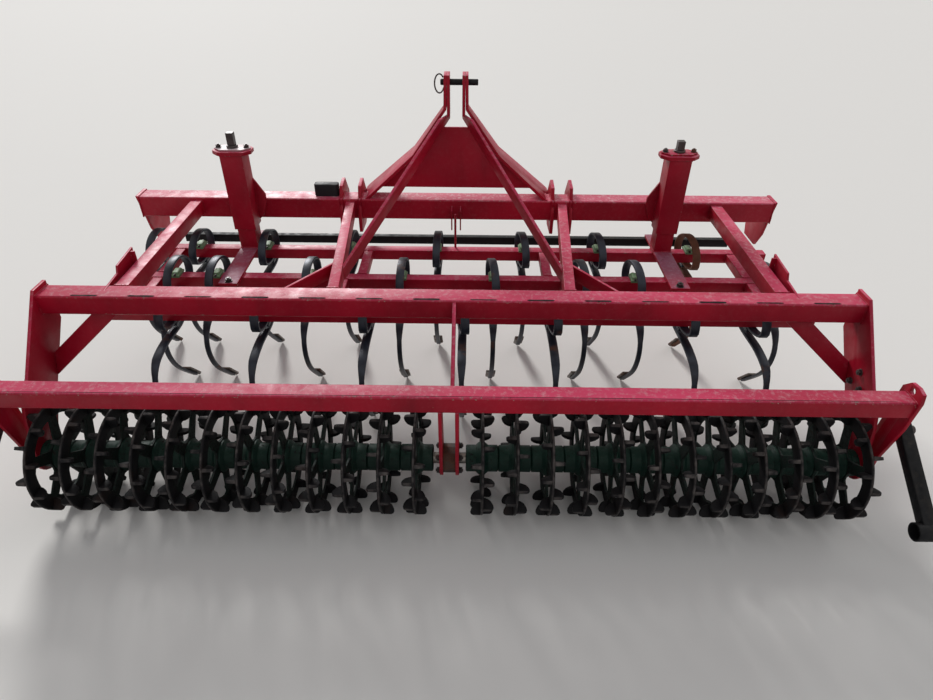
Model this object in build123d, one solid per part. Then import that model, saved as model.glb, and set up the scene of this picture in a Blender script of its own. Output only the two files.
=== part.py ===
from build123d import *
import math
import os

# Seedbed cultivator for a tractor's three-point hitch, parked on its rollers and tine points.
# Millimetres. X runs across the machine, Y forwards to the tractor, Z up, with the ground at Z = 0.
# Every Y below is measured from the roller axle; CENTRE_Y at the end moves the origin to mid-length.

# Main beams: half width of the frame, and where each hollow section lies
FRAME_HALF = 1449.0
BEAM_CORNER = 5.0
FRONT_BEAM_Y = 1114.0
FRONT_BEAM_DEEP = 94.0
FRONT_BEAM_Z = 622.0
FRONT_BEAM_TALL = 94.0
REAR_BEAM_Y = 254.0
REAR_BEAM_DEEP = 85.0
REAR_BEAM_Z = 630.0
REAR_BEAM_TALL = 75.0
ROLLER_BEAM_Y = -88.0
ROLLER_BEAM_DEEP = 70.0
ROLLER_BEAM_Z = 486.0
ROLLER_BEAM_TALL = 65.0

FRONT_BEAM_FRONT = FRONT_BEAM_Y + FRONT_BEAM_DEEP
FRONT_BEAM_TOP = FRONT_BEAM_Z + FRONT_BEAM_TALL
REAR_BEAM_FRONT = REAR_BEAM_Y + REAR_BEAM_DEEP
REAR_BEAM_TOP = REAR_BEAM_Z + REAR_BEAM_TALL
ROLLER_BEAM_FRONT = ROLLER_BEAM_Y + ROLLER_BEAM_DEEP
ROLLER_BEAM_TOP = ROLLER_BEAM_Z + ROLLER_BEAM_TALL

# Rails between the two main beams
RAIL_TALL = 60.0
RAIL_Z = 644.0
SIDE_RAIL_X = 1184.0
SIDE_RAIL_WIDE = 50.0
CENTRE_RAIL_WIDE = 40.0
CENTRE_RAIL_REAR_X = 425.0
CENTRE_RAIL_FRONT_X = 483.0
RAIL_TOP = RAIL_Z + RAIL_TALL
BRACE_RUN = 190.0
BRACE_SPREAD = 171.0
BRACE_TALL = 55.0
BRACE_THICK = 10.0
CENTRE_LINK_X = 12.0
CENTRE_LINK_THICK = 13.0

# Plates
PLATE = 12.0
THIN_PLATE = 8.0

# Rollers: two side by side on one axle line
ROLLER_R = 200.0
ROLLER_Z = ROLLER_R
RING_COUNT = 12
FIRST_RING_X = 116.0
RING_WEB = 10.0
RIM_DEPTH = 46.0
LUGS_PER_SIDE = 10
LUG_REACH = 40.0
LUG_THICK = 18.0
SPOKES = 5
SPOKE_WIDE = 26.0
HUB_R = 48.0
HUB_SIDES = 8
HUB_FLANGE = 14.0
HUB_START_X = 62.0
ROLLER_END_GAP = 6.0
HUB_END_X = FRAME_HALF - ROLLER_END_GAP
RING_PITCH = (HUB_END_X - LUG_REACH - FIRST_RING_X) / (RING_COUNT - 1)
RING_TURN = 7.0
JOURNAL_R = 20.0
RUNNING_GAP = 0.05
HOUSING_R = 52.0
HOUSING_LONG = 30.0

# Sides of bars, bores and rounded ends that are drawn with flats
FLATS = 12
ROUND_SIDES = 16

# Plates that carry the axle
LEG_X = FRAME_HALF
LEG_ROUND = 60.0
LEG_BRACE_RUN = 219.0
LEG_BRACE_DROP = 190.0
LEG_BRACE_WIDE = 62.0
SIDE_PLATE_X = LEG_X + PLATE + HOUSING_LONG
SIDE_PLATE_ROUND = 38.0
HANGER_X = 22.0
HANGER_ROUND = 62.0
PLATE_HOLE_R = 12.5
PLATE_HOLE_Y = ROLLER_BEAM_Y + 41
PLATE_HOLE_Z = ROLLER_BEAM_TOP + 18

# Depth posts of the tine frame
POST_X = 953.0
POST_TUBE = 95.0
POST_WALL = 8.0
POST_SLIDE_GAP = 0.3
POST_TUBE_Z = 605.0
POST_TUBE_TOP = 943.0
POST_Y = FRONT_BEAM_Y - POST_TUBE / 2
INNER_POST_TOP = 800.0
FLANGE_WIDE = 165.0
FLANGE_DEEP = 100.0
FLANGE_THICK = 15.0
SPINDLE_R = 15.0
FLANGE_CORNER = 28.0
GUSSET_WIDE = 44.0
GUSSET_RISE = 99.0
GUSSET_DROP = 87.0
SPINDLE_SQUARE = 31.0
SPINDLE_TOP = 1028.0
SPINDLE_BOTTOM = 720.0

# Document box on the front beam, left of the hitch
BOX_WIDE = 110.0
BOX_DEEP = 42.0
BOX_TALL = 56.0
EAR_GAP = 6.0

# Tine frame
TINE_BAR = 48.0
TINE_BAR_TOP = 500.0
TINE_BAR_HALF = FRAME_HALF - 9.0
TINE_BAR_Z = TINE_BAR_TOP - TINE_BAR / 2
BAR_1_Y = 1061.0
BAR_2_Y = 789.0
BAR_3_Y = 517.0
LEVEL_BAR_Y = 1184.0
LEVEL_BAR_DEEP = 30.0
LEVEL_BAR_TALL = 38.0
LEVEL_BAR_HALF = 1315.0
POST_ARM_WIDE = 80.0
POST_ARM_REAR_Y = 693.0
TINE_RAIL_WIDE = 40.0
TINE_RAIL_TALL = 40.0
TINE_RAIL_OUTER_X = 1275.0
TINE_RAIL_FRONT_X = 405.0
TINE_RAIL_REAR_X = 478.0

# Spring tines: a flat steel strip with a coil-like loop over the bar and a curved shank
STRIP_THICK = 11.0
STRIP_WIDE = 45.0
SHANK_WIDE = 20.0
NECK_TOP = -68.0
NECK_BOTTOM = -130.0
LOOP_HALF_LONG = 104.0
LOOP_HALF_TALL = 71.0
LOOP_RISE = 9.0
CLAMP_WIDE = 36.0
CLAMP_LONG = 66.0
CLAMP_THICK = 8.0
CLAMP_BLOCK = 15.0
SHARE_WIDE = 42.0
SHARE_THICK = 8.0
SHARE_LONG = 150.0

# Places of the tines along each bar
TINES_BAR_1 = (-1385, -1190, -875, -487, -84, 309, 657, 1081)
TINES_BAR_2 = (-1200, -1025, -620, -224, 165, 545, 776, 1335)
TINES_BAR_3 = (-1130, -760, -342, 38, 397, 925, 1198)

# Three-point hitch
LOWER_CENTRE_X = 482.5
EAR_APART = 84.0
EAR_THICK = 15.0
LOWER_PIN_R = 18.3
LOWER_PIN_Y = FRONT_BEAM_FRONT + 47
LOWER_PIN_Z = 645.0
MAST_Y = FRONT_BEAM_Y + 46
MAST_TOP = 1250.0
MAST_GAP = 52.0
MAST_BAR = 12.5
MAST_WIDE = 75.0
MAST_FOOT_WIDE = 200.0
TOP_PIN_R = 12.5
TOP_PIN_Z = MAST_TOP - 34.0
PIN_GAP = 0.3
MAST_HEAD_TALL = 135.0
MAST_BEND_X = 186.0
MAST_BEND_RISE = 199.0
MAST_FOOT_X = 404.0
MAST_PLATE_DROP = 218.0
MAST_PLATE_RISE = 46.0
MAST_PLATE_THICK = 10.0
STAY_BEND_DROP = 165.0
STAY_SEAT_Y = REAR_BEAM_FRONT + 177.0
STAY_SEAT_Z = 668.0
STAY_WIDE = 62.0
TOP_PIN_LEFT = -66.0
TOP_PIN_RIGHT = 92.0

# Swing arms behind the roller
ARM_TUBE = 60.0
ARM_GAP = 8.0
ARM_X = SIDE_PLATE_X + PLATE + ARM_GAP
ARM_PIVOT_Y = -38.0
ARM_PIVOT_Z = 395.0
ARM_PIN_R = 15.0
FOOT_Y = -300.0
FOOT_Z = 190.0
FOOT_R = 31.0
FOOT_LONG = 150.0


def block(x, y, z):
    """A box between a low and a high value along each axis."""
    size = Box(x[1] - x[0], y[1] - y[0], z[1] - z[0])
    return Pos((x[0] + x[1]) / 2, (y[0] + y[1]) / 2, (z[0] + z[1]) / 2) * size


def outlined(points):
    """A flat shape from its corners, facing up whichever way round they are listed."""
    area = sum(a[0] * b[1] - b[0] * a[1] for a, b in zip(points, points[1:] + points[:1]))
    return Polygon(*(points if area > 0 else points[::-1]))


def hollow_section(half, y, deep, z, tall):
    """A beam across the machine with broken long corners."""
    beam = block((-half, half), (y, y + deep), (z, z + tall))
    return chamfer(beam.edges().filter_by(Axis.X), BEAM_CORNER)


def side_plate(outline, x, thick, holes=(), rounds=()):
    """A plate in the YZ plane from x outwards.

    Rounds are (y, z, radius) and holes (y, z, radius, flats), where 0 flats is a true circle."""
    sketch = outlined(outline)
    for y, z, radius in rounds:
        sketch += Pos(y, z) * RegularPolygon(radius, ROUND_SIDES)
    for y, z, radius, sides in holes:
        sketch -= Pos(y, z) * (RegularPolygon(radius, sides, major_radius=False) if sides else Circle(radius))
    return Solid.extrude((Plane.YZ.offset(x) * sketch).face(), Vector(thick, 0, 0))


def front_plate(outline, y, thick):
    """A plate in the XZ plane from y forwards; the outline is (x, z)."""
    corners = [(x, y, z) for x, z in outline]
    face = Face(Wire.make_polygon([Vector(*corner) for corner in corners]))
    return Solid.extrude(face, Vector(0, thick, 0))


def flat_plate(outline, z, thick):
    """A plate in the XY plane from z upwards; the outline is (x, y)."""
    return Solid.extrude((Plane.XY.offset(z) * outlined(outline)).face(), Vector(0, 0, thick))


def bar_with_flats(x, y, z, radius, outside=True):
    """A bar or bore along X between two values of x, with flats outside or inside the given circle."""
    section = Plane.YZ.offset(x[0]) * Pos(y, z) * RegularPolygon(radius, FLATS, major_radius=not outside)
    return Solid.extrude(section.face(), Vector(x[1] - x[0], 0, 0))


def pin_along_x(x, y, z, radius):
    """A pin or journal, drawn with flats whose corners lie on the given circle, so it turns in its bore."""
    return bar_with_flats(x, y, z, radius, outside=False)


def upright_bar(radius, tall):
    """An upright round bar or hole, drawn with flats, centred on the origin."""
    return extrude(RegularPolygon(radius, FLATS, major_radius=False), tall / 2, both=True)


def strut(start, end, normal, wide, thick, spare=120.0):
    """A flat bar through two points, longer at both ends by spare, thin along the normal."""
    start = Vector(*start)
    along = (Vector(*end) - start).normalized()
    across = Vector(*normal)
    across = (across - along * across.dot(along)).normalized()
    middle = Plane(origin=(start + Vector(*end)) / 2, x_dir=across, z_dir=along)
    return middle * Box(thick, wide, (Vector(*end) - start).length + 2 * spare)


def trim(solid, at, keep_towards):
    """Cut a bar at a plane through a point and keep the side the direction points to."""
    return split(solid, Plane(origin=at, z_dir=keep_towards), Keep.TOP)


def mirrored(solid):
    """The same piece on the other side of the machine."""
    return mirror(solid, Plane.YZ)


def both(*solids):
    """Each piece on the right and its mirror image on the left."""
    return [side for solid in solids for side in (solid, mirrored(solid))]


def strip_outline(path, thick):
    """Outline of a strip of even thickness whose middle follows a path of (y, z) points."""
    left = []
    right = []
    for index, point in enumerate(path):
        before = path[max(index - 1, 0)]
        after = path[min(index + 1, len(path) - 1)]
        into = math.atan2(point[1] - before[1], point[0] - before[0])
        out = math.atan2(after[1] - point[1], after[0] - point[0])
        into = out if index == 0 else into
        out = into if index == len(path) - 1 else out
        half_turn = math.remainder(out - into, math.tau) / 2
        reach = thick / 2 / math.cos(half_turn)
        facing = into + half_turn + math.pi / 2
        left.append((point[0] + reach * math.cos(facing), point[1] + reach * math.sin(facing)))
        right.append((point[0] - reach * math.cos(facing), point[1] - reach * math.sin(facing)))
    return left + right[::-1]


# Main frame

def make_side_rails():
    low, high = SIDE_RAIL_X - SIDE_RAIL_WIDE / 2, SIDE_RAIL_X + SIDE_RAIL_WIDE / 2
    return both(block((low, high), (REAR_BEAM_FRONT, FRONT_BEAM_Y), (RAIL_Z, RAIL_TOP)))


def make_centre_rails():
    half = CENTRE_RAIL_WIDE / 2
    outline = [(CENTRE_RAIL_REAR_X - half, REAR_BEAM_FRONT), (CENTRE_RAIL_REAR_X + half, REAR_BEAM_FRONT),
               (CENTRE_RAIL_FRONT_X + half, FRONT_BEAM_Y), (CENTRE_RAIL_FRONT_X - half, FRONT_BEAM_Y)]
    return both(flat_plate(outline, RAIL_Z, RAIL_TALL))


def make_rail_brackets():
    """Cheek plates beside the side rails, each with a cross plate that joins it to the rail."""
    cheek_x = SIDE_RAIL_X + SIDE_RAIL_WIDE / 2 + 16
    top, tail = REAR_BEAM_TOP, REAR_BEAM_FRONT
    outline = [(tail - 42, top), (tail, top), (tail, top - 36), (tail + 208, top - 36),
               (tail + 218, top + 42), (tail + 84, top + 32), (tail + 72, top + 8)]
    cheek = side_plate(outline, cheek_x, THIN_PLATE)
    cross = block((cheek_x - 16, cheek_x), (tail + 190, tail + 198), (top - 36, top + 36))
    return both(cheek + cross)


def make_diagonal_braces():
    """Upright flat bars from the rear beam to the outer sides of the centre rails."""
    slope = rail_slope()
    seat_y = REAR_BEAM_FRONT + BRACE_RUN
    seat_x = CENTRE_RAIL_REAR_X + CENTRE_RAIL_WIDE / 2 + BRACE_RUN * slope
    middle_z = RAIL_Z + RAIL_TALL / 2
    start = (CENTRE_RAIL_REAR_X + BRACE_SPREAD, REAR_BEAM_FRONT, middle_z)
    bar = strut(start, (seat_x, seat_y, middle_z), (1, 0.7, 0), BRACE_TALL, BRACE_THICK)
    bar = trim(bar, (0, REAR_BEAM_FRONT, 0), (0, 1, 0))
    return both(trim(bar, (seat_x, seat_y, 0), (1, -slope, 0)))


def make_end_brackets():
    """Plates that close the front beam's ends and reach forwards and down."""
    back, front, top = FRONT_BEAM_Y, FRONT_BEAM_FRONT, FRONT_BEAM_TOP
    outline = [(back, top + 4), (back + 29, top - 90), (back + 51, top - 176), (back + 98, top - 250),
               (front + 132, top - 250), (front + 152, top - 196), (front, top + 4)]
    return both(side_plate(outline, FRAME_HALF, PLATE))


def make_rear_legs():
    """Plates that close the rear beam's ends and slope down to the roller axle."""
    back, front = REAR_BEAM_Y + 8, REAR_BEAM_FRONT
    knee = REAR_BEAM_Z - 143
    outline = [(back, REAR_BEAM_TOP + 18), (back - 197, knee), (back - 255, knee - 44), (-21, ROLLER_Z + 177),
               (-58, ROLLER_Z + 14), (40, ROLLER_Z - 44), (front - 147, ROLLER_Z + 184), (front, REAR_BEAM_Z - 65),
               (front, REAR_BEAM_TOP + 18)]
    bore = (0, ROLLER_Z, JOURNAL_R + 2, FLATS)
    return both(side_plate(outline, LEG_X, PLATE, [bore], [(0, ROLLER_Z, LEG_ROUND)]))


def make_leg_braces():
    """Flat bars from under the rear beam to the inner sides of the rear legs."""
    top = (LEG_X - LEG_BRACE_RUN, REAR_BEAM_Y + 38, REAR_BEAM_Z)
    bar = strut(top, (LEG_X, REAR_BEAM_Y - 32, REAR_BEAM_Z - LEG_BRACE_DROP), (0, 1, -0.37), LEG_BRACE_WIDE, THIN_PLATE)
    bar = trim(bar, (0, 0, REAR_BEAM_Z), (0, 0, -1))
    return both(trim(bar, (LEG_X, 0, 0), (-1, 0, 0)))


def make_side_plates():
    """Outer plates at the roller beam's ends, down to the axle."""
    back, top = ROLLER_BEAM_Y, ROLLER_BEAM_TOP
    outline = [(back - 11, top + 6), (back - 4, top + 37), (back + 24, top + 44), (back + 60, top + 39),
               (back + 90, top + 6), (38, ROLLER_Z + 8), (0, ROLLER_Z - 30), (-37, ROLLER_Z + 6),
               (-39, ROLLER_Z + 52), (-62, ROLLER_Z + 146), (back + 3, ROLLER_BEAM_Z - 49)]
    holes = [(PLATE_HOLE_Y, PLATE_HOLE_Z, PLATE_HOLE_R, 0), (0, ROLLER_Z, JOURNAL_R + 2, FLATS)]
    rounds = [(0, ROLLER_Z, SIDE_PLATE_ROUND)]
    return both(side_plate(outline, SIDE_PLATE_X, PLATE, holes, rounds))


def make_bearing_housings():
    """Round housings between each rear leg and side plate."""
    low = LEG_X + PLATE
    x = (low, low + HOUSING_LONG)
    body = bar_with_flats(x, 0, ROLLER_Z, HOUSING_R)
    return both(body - bar_with_flats(x, 0, ROLLER_Z, JOURNAL_R + RUNNING_GAP))


def make_centre_link():
    """A flat bar from the rear beam's back down to the front of the roller beam."""
    outline = [(REAR_BEAM_Y, REAR_BEAM_TOP - BEAM_CORNER), (REAR_BEAM_Y, REAR_BEAM_Z + BEAM_CORNER),
               (ROLLER_BEAM_FRONT, ROLLER_BEAM_Z + BEAM_CORNER), (ROLLER_BEAM_FRONT, ROLLER_BEAM_TOP - BEAM_CORNER)]
    return [side_plate(outline, CENTRE_LINK_X - CENTRE_LINK_THICK / 2, CENTRE_LINK_THICK)]


def make_centre_hanger():
    """Twin plates under the roller beam that hold the bearing between the two rollers."""
    outline = [(ROLLER_BEAM_Y, ROLLER_BEAM_Z), (-HANGER_ROUND, ROLLER_Z + 6), (0, ROLLER_Z - HANGER_ROUND),
               (HANGER_ROUND, ROLLER_Z + 6), (ROLLER_BEAM_FRONT, ROLLER_BEAM_Z)]
    bore = (0, ROLLER_Z, JOURNAL_R + 2, FLATS)
    plates = both(side_plate(outline, HANGER_X, PLATE, [bore], [(0, ROLLER_Z, HANGER_ROUND)]))
    return plates


def make_centre_bearing():
    x = (-HANGER_X, HANGER_X)
    body = bar_with_flats(x, 0, ROLLER_Z, HOUSING_R)
    return [body - bar_with_flats(x, 0, ROLLER_Z, JOURNAL_R + RUNNING_GAP)]


# Three-point hitch

def make_hitch_ears():
    """Pairs of plates around the front beam that hold the lower hitch pins."""
    back, front, low, top = FRONT_BEAM_Y, FRONT_BEAM_FRONT, FRONT_BEAM_Z, FRONT_BEAM_TOP
    outline = [(back - 22, low - 56), (front + 2, low - 62), (front + 92, low - 12), (front + 92, low + 68),
               (front + 22, top + 59), (back + 36, top + 49), (back - 22, low + 18)]
    beam = block((0, FRAME_HALF), (back, front), (low, top))
    ears = []
    for offset in (-EAR_APART / 2, EAR_APART / 2):
        x = LOWER_CENTRE_X + offset - EAR_THICK / 2
        ear = side_plate(outline, x, EAR_THICK, [(LOWER_PIN_Y, LOWER_PIN_Z, LOWER_PIN_R + PIN_GAP, FLATS)])
        ears += both(ear - beam)
    return ears


def make_hitch_pins():
    """Lower hitch pins with a head outside the outer ear."""
    reach = EAR_APART / 2 + EAR_THICK / 2
    pin = pin_along_x((LOWER_CENTRE_X - reach - 22, LOWER_CENTRE_X + reach), LOWER_PIN_Y, LOWER_PIN_Z, LOWER_PIN_R)
    head_x = (LOWER_CENTRE_X + reach, LOWER_CENTRE_X + reach + 10)
    return both(pin + bar_with_flats(head_x, LOWER_PIN_Y, LOWER_PIN_Z, LOWER_PIN_R + 8))


def mast_leg_path():
    """Middle line of a mast leg, (x, z): head, two bends and foot on the front beam."""
    head_x = MAST_GAP / 2 + MAST_BAR * 1.5
    return [(head_x, MAST_TOP), (head_x + 2, MAST_TOP - MAST_HEAD_TALL),
            (MAST_BEND_X, FRONT_BEAM_TOP + MAST_BEND_RISE), (MAST_FOOT_X, FRONT_BEAM_TOP)]


def make_mast_legs():
    """Bent bars that grow deeper downwards, seated on the front beam and against the inner ears."""
    path = mast_leg_path()
    ear_x = LOWER_CENTRE_X - EAR_APART / 2 - EAR_THICK / 2
    drop = (ear_x - path[3][0] + MAST_BAR) * (path[2][1] - path[3][1]) / (path[3][0] - path[2][0])
    path[3] = (ear_x + MAST_BAR, path[3][1] - drop)
    rear = MAST_Y - MAST_WIDE / 2
    foot_z = path[3][1] - MAST_BAR
    profile = [(rear, MAST_TOP), (rear, foot_z), (rear + MAST_FOOT_WIDE, foot_z),
               (rear + MAST_FOOT_WIDE, FRONT_BEAM_TOP), (rear + MAST_WIDE, MAST_TOP - MAST_HEAD_TALL),
               (rear + MAST_WIDE, MAST_TOP)]
    leg = front_plate(strip_outline(path, MAST_BAR), rear, MAST_FOOT_WIDE) & side_plate(profile, 0, ear_x)
    beam = block((0, FRAME_HALF), (FRONT_BEAM_Y, FRONT_BEAM_FRONT), (foot_z, FRONT_BEAM_TOP))
    return both(leg - beam)


def make_mast_plate():
    """A trapezoid plate that fills the upper part of the mast between its legs."""
    top = MAST_TOP - MAST_PLATE_DROP
    bottom = FRONT_BEAM_TOP + MAST_PLATE_RISE
    inner_side = strip_outline(mast_leg_path(), MAST_BAR)[4:]
    foot, bend, shoulder = inner_side[0], inner_side[1], inner_side[2]

    def across(z, low, high):
        return low[0] + (z - low[1]) * (high[0] - low[0]) / (high[1] - low[1])

    right = [(across(top, bend, shoulder), top), bend, (across(bottom, foot, bend), bottom)]
    outline = right + [(-x, z) for x, z in right[::-1]]
    return [front_plate(outline, MAST_Y - MAST_PLATE_THICK / 2, MAST_PLATE_THICK)]


def rail_slope():
    """How far a centre rail moves outwards for each millimetre forwards."""
    return (CENTRE_RAIL_FRONT_X - CENTRE_RAIL_REAR_X) / (FRONT_BEAM_Y - REAR_BEAM_FRONT)


def make_mast_stays():
    """Flat bars from the mast head back and down to the inner sides of the centre rails."""
    slope = rail_slope()
    seat_x = CENTRE_RAIL_REAR_X - CENTRE_RAIL_WIDE / 2 + (STAY_SEAT_Y - REAR_BEAM_FRONT) * slope
    bend_z = MAST_TOP - STAY_BEND_DROP
    head_x = MAST_GAP / 2
    y = (MAST_Y - MAST_WIDE / 2, MAST_Y + MAST_WIDE / 2)
    head = block((head_x, head_x + MAST_BAR), y, (bend_z, MAST_TOP))
    start = (head_x + MAST_BAR / 2, MAST_Y - 6, bend_z + 10)
    bar = strut(start, (seat_x, STAY_SEAT_Y, STAY_SEAT_Z), (1, 0.1, 0), STAY_WIDE, MAST_BAR)
    bar = trim(bar, (0, 0, bend_z), (0, 0, -1))
    return both(head + trim(bar, (seat_x, STAY_SEAT_Y, 0), (-1, slope, 0)))


def make_top_pin():
    return [pin_along_x((TOP_PIN_LEFT, TOP_PIN_RIGHT), MAST_Y, TOP_PIN_Z, TOP_PIN_R)]


def bored_for_top_pin(solids):
    reach = MAST_GAP / 2 + 3 * MAST_BAR
    hole = bar_with_flats((-reach, reach), MAST_Y, TOP_PIN_Z, TOP_PIN_R + PIN_GAP)
    return [solid - hole for solid in solids]


# Depth posts

def make_post_tubes():
    half = POST_TUBE / 2
    bore = half - POST_WALL
    x, y = (POST_X - half, POST_X + half), (POST_Y - half, POST_Y + half)
    tube = block(x, y, (POST_TUBE_Z, POST_TUBE_TOP))
    hollow = block((POST_X - bore, POST_X + bore), (POST_Y - bore, POST_Y + bore), (POST_TUBE_Z, POST_TUBE_TOP))
    return both(tube - hollow)


def make_post_flanges():
    """Top plates of the posts, with cut corners and a hole for the spindle."""
    plate = Box(FLANGE_WIDE, FLANGE_DEEP, FLANGE_THICK)
    plate = chamfer(plate.edges().filter_by(Axis.Z), FLANGE_CORNER)
    plate -= upright_bar(SPINDLE_R + PIN_GAP, FLANGE_THICK)
    return both(Pos(POST_X, POST_Y, POST_TUBE_TOP + FLANGE_THICK / 2) * plate)


def make_post_gussets():
    """Plates on the back of the front beam, against the inner side of each post."""
    side = POST_X - POST_TUBE / 2
    outline = [(side, FRONT_BEAM_TOP + GUSSET_RISE), (side - GUSSET_WIDE, FRONT_BEAM_TOP + GUSSET_RISE / 4),
               (side - GUSSET_WIDE, FRONT_BEAM_TOP - GUSSET_DROP / 7),
               (side - GUSSET_WIDE / 2, FRONT_BEAM_TOP - GUSSET_DROP * 6 / 7), (side, FRONT_BEAM_TOP - GUSSET_DROP)]
    return both(front_plate(outline, FRONT_BEAM_Y - BRACE_THICK, BRACE_THICK))


def make_spindles():
    top = POST_TUBE_TOP + FLANGE_THICK
    screw = Pos(POST_X, POST_Y, (SPINDLE_BOTTOM + top) / 2) * upright_bar(SPINDLE_R, top - SPINDLE_BOTTOM)
    head = Pos(POST_X, POST_Y, (top + SPINDLE_TOP) / 2) * Box(SPINDLE_SQUARE, SPINDLE_SQUARE, SPINDLE_TOP - top)
    return both(screw + head)


def make_document_box():
    ear_side = -(LOWER_CENTRE_X + EAR_APART / 2 + EAR_THICK / 2)
    x = (ear_side - EAR_GAP - BOX_WIDE, ear_side - EAR_GAP)
    y = (FRONT_BEAM_Y + 30, FRONT_BEAM_Y + 30 + BOX_DEEP)
    case = block(x, y, (FRONT_BEAM_TOP, FRONT_BEAM_TOP + BOX_TALL))
    return [chamfer(case.edges().filter_by(Axis.Z), 8)]


def make_rod_bracket():
    """Two small plates behind the front beam that guide the gauge rod."""
    outline = [(FRONT_BEAM_Y - 20, FRONT_BEAM_Z - 44), (FRONT_BEAM_Y - 4, FRONT_BEAM_Z - 44),
               (FRONT_BEAM_Y, FRONT_BEAM_Z), (FRONT_BEAM_Y, FRONT_BEAM_Z + 68), (FRONT_BEAM_Y - 20, FRONT_BEAM_Z + 50)]
    return both(side_plate(outline, 17, 6))


def make_arm_pivots():
    """Pins on the side plates on which the swing arms turn."""
    pin = pin_along_x((SIDE_PLATE_X + PLATE, ARM_X + ARM_TUBE + 10), ARM_PIVOT_Y, ARM_PIVOT_Z, ARM_PIN_R)
    return both(pin)


# Tine frame

def make_tine_bars():
    half = TINE_BAR / 2
    z = (TINE_BAR_TOP - TINE_BAR, TINE_BAR_TOP)
    return [block((-TINE_BAR_HALF, TINE_BAR_HALF), (y - half, y + half), z) for y in (BAR_1_Y, BAR_2_Y, BAR_3_Y)]


def make_levelling_bar():
    z = (TINE_BAR_TOP - LEVEL_BAR_TALL, TINE_BAR_TOP)
    return [block((-LEVEL_BAR_HALF, LEVEL_BAR_HALF), (LEVEL_BAR_Y, LEVEL_BAR_Y + LEVEL_BAR_DEEP), z)]


def make_tine_rails():
    """Short members between the tine bars: (centre x, rear bar, front bar)."""
    rails = []
    for x, rear, front in ((TINE_RAIL_OUTER_X, BAR_3_Y, BAR_2_Y), (TINE_RAIL_OUTER_X, BAR_2_Y, BAR_1_Y),
                           (TINE_RAIL_REAR_X, BAR_3_Y, BAR_2_Y), (TINE_RAIL_FRONT_X, BAR_2_Y, BAR_1_Y)):
        rails += both(block((x - TINE_RAIL_WIDE / 2, x + TINE_RAIL_WIDE / 2),
                            (rear + TINE_BAR / 2, front - TINE_BAR / 2), (TINE_BAR_TOP - TINE_RAIL_TALL, TINE_BAR_TOP)))
    return rails


def make_post_arms():
    """Flat arms on top of the tine bars that stand under the inner posts."""
    x = (POST_X - POST_ARM_WIDE / 2, POST_X + POST_ARM_WIDE / 2)
    y = (POST_ARM_REAR_Y, LEVEL_BAR_Y + LEVEL_BAR_DEEP)
    return both(block(x, y, (TINE_BAR_TOP, TINE_BAR_TOP + PLATE)))


def make_inner_posts():
    half = POST_TUBE / 2 - POST_WALL - POST_SLIDE_GAP
    bore = half - POST_WALL
    z = (TINE_BAR_TOP + PLATE, INNER_POST_TOP)
    post = block((POST_X - half, POST_X + half), (POST_Y - half, POST_Y + half), z)
    hollow = block((POST_X - bore, POST_X + bore), (POST_Y - bore, POST_Y + bore), z)
    return both(post - hollow)


def make_gauge_rod():
    z = (TINE_BAR_TOP, TINE_BAR_TOP + 95)
    return [Pos(-3, BAR_1_Y + TINE_BAR / 2 - 6, (z[0] + z[1]) / 2) * upright_bar(5, z[1] - z[0])]


def tine_path():
    """Middle line of a tine's strip, (y, z) from the centre of its bar."""
    under = -(TINE_BAR + STRIP_THICK) / 2
    start = [(20, under), (-52, under)]
    loop = []
    for angle in (198, 146, 94, 42, -18, -78):
        turn = math.radians(angle)
        loop.append((LOOP_HALF_LONG * math.cos(turn), LOOP_RISE + LOOP_HALF_TALL * math.sin(turn)))
    shank = [(-124, -60), (-222, -88), (-268, -176), (-232, -296), (-98, -446)]
    return start + loop + shank


def make_tines(bar_y, places):
    """Tines whose strip is wide in the loop and narrows behind it to the shank."""
    path = tine_path()
    strip = side_plate(strip_outline(path, STRIP_THICK), -STRIP_WIDE / 2, STRIP_WIDE)
    half, narrow = STRIP_WIDE / 2, SHANK_WIDE / 2
    high, low = LOOP_RISE + LOOP_HALF_TALL + STRIP_THICK, path[-1][1] - STRIP_THICK
    right = [(half, high), (half, NECK_TOP), (narrow, NECK_BOTTOM), (narrow, low)]
    seen_from_behind = right + [(-x, z) for x, z in right[::-1]]
    reach = max(abs(y) for y, z in path) + STRIP_THICK
    first = strip & front_plate(seen_from_behind, -reach, 2 * reach)
    return [Pos(x, bar_y, TINE_BAR_Z) * first for x in on_bar(places)]


def on_bar(places):
    """The tine places that the bars are long enough for."""
    return [x for x in places if abs(x) + STRIP_WIDE / 2 <= TINE_BAR_HALF]


def all_tines():
    """(bar y, x) of every tine."""
    rows = ((BAR_1_Y, TINES_BAR_1), (BAR_2_Y, TINES_BAR_2), (BAR_3_Y, TINES_BAR_3))
    return [(y, x) for y, places in rows for x in on_bar(places)]


def make_clamp_plates():
    plates = []
    for bar_y, x in all_tines():
        plates.append(block((x - CLAMP_WIDE / 2, x + CLAMP_WIDE / 2), (bar_y - CLAMP_LONG / 2, bar_y + CLAMP_LONG / 2),
                            (TINE_BAR_TOP, TINE_BAR_TOP + CLAMP_THICK)))
    return plates


def make_clamp_blocks():
    top = TINE_BAR_TOP - TINE_BAR - STRIP_THICK
    blocks = []
    for bar_y, x in all_tines():
        blocks.append(block((x - CLAMP_WIDE / 2, x + CLAMP_WIDE / 2), (bar_y - 20, bar_y + 20), (top - CLAMP_BLOCK, top)))
    return blocks


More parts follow.
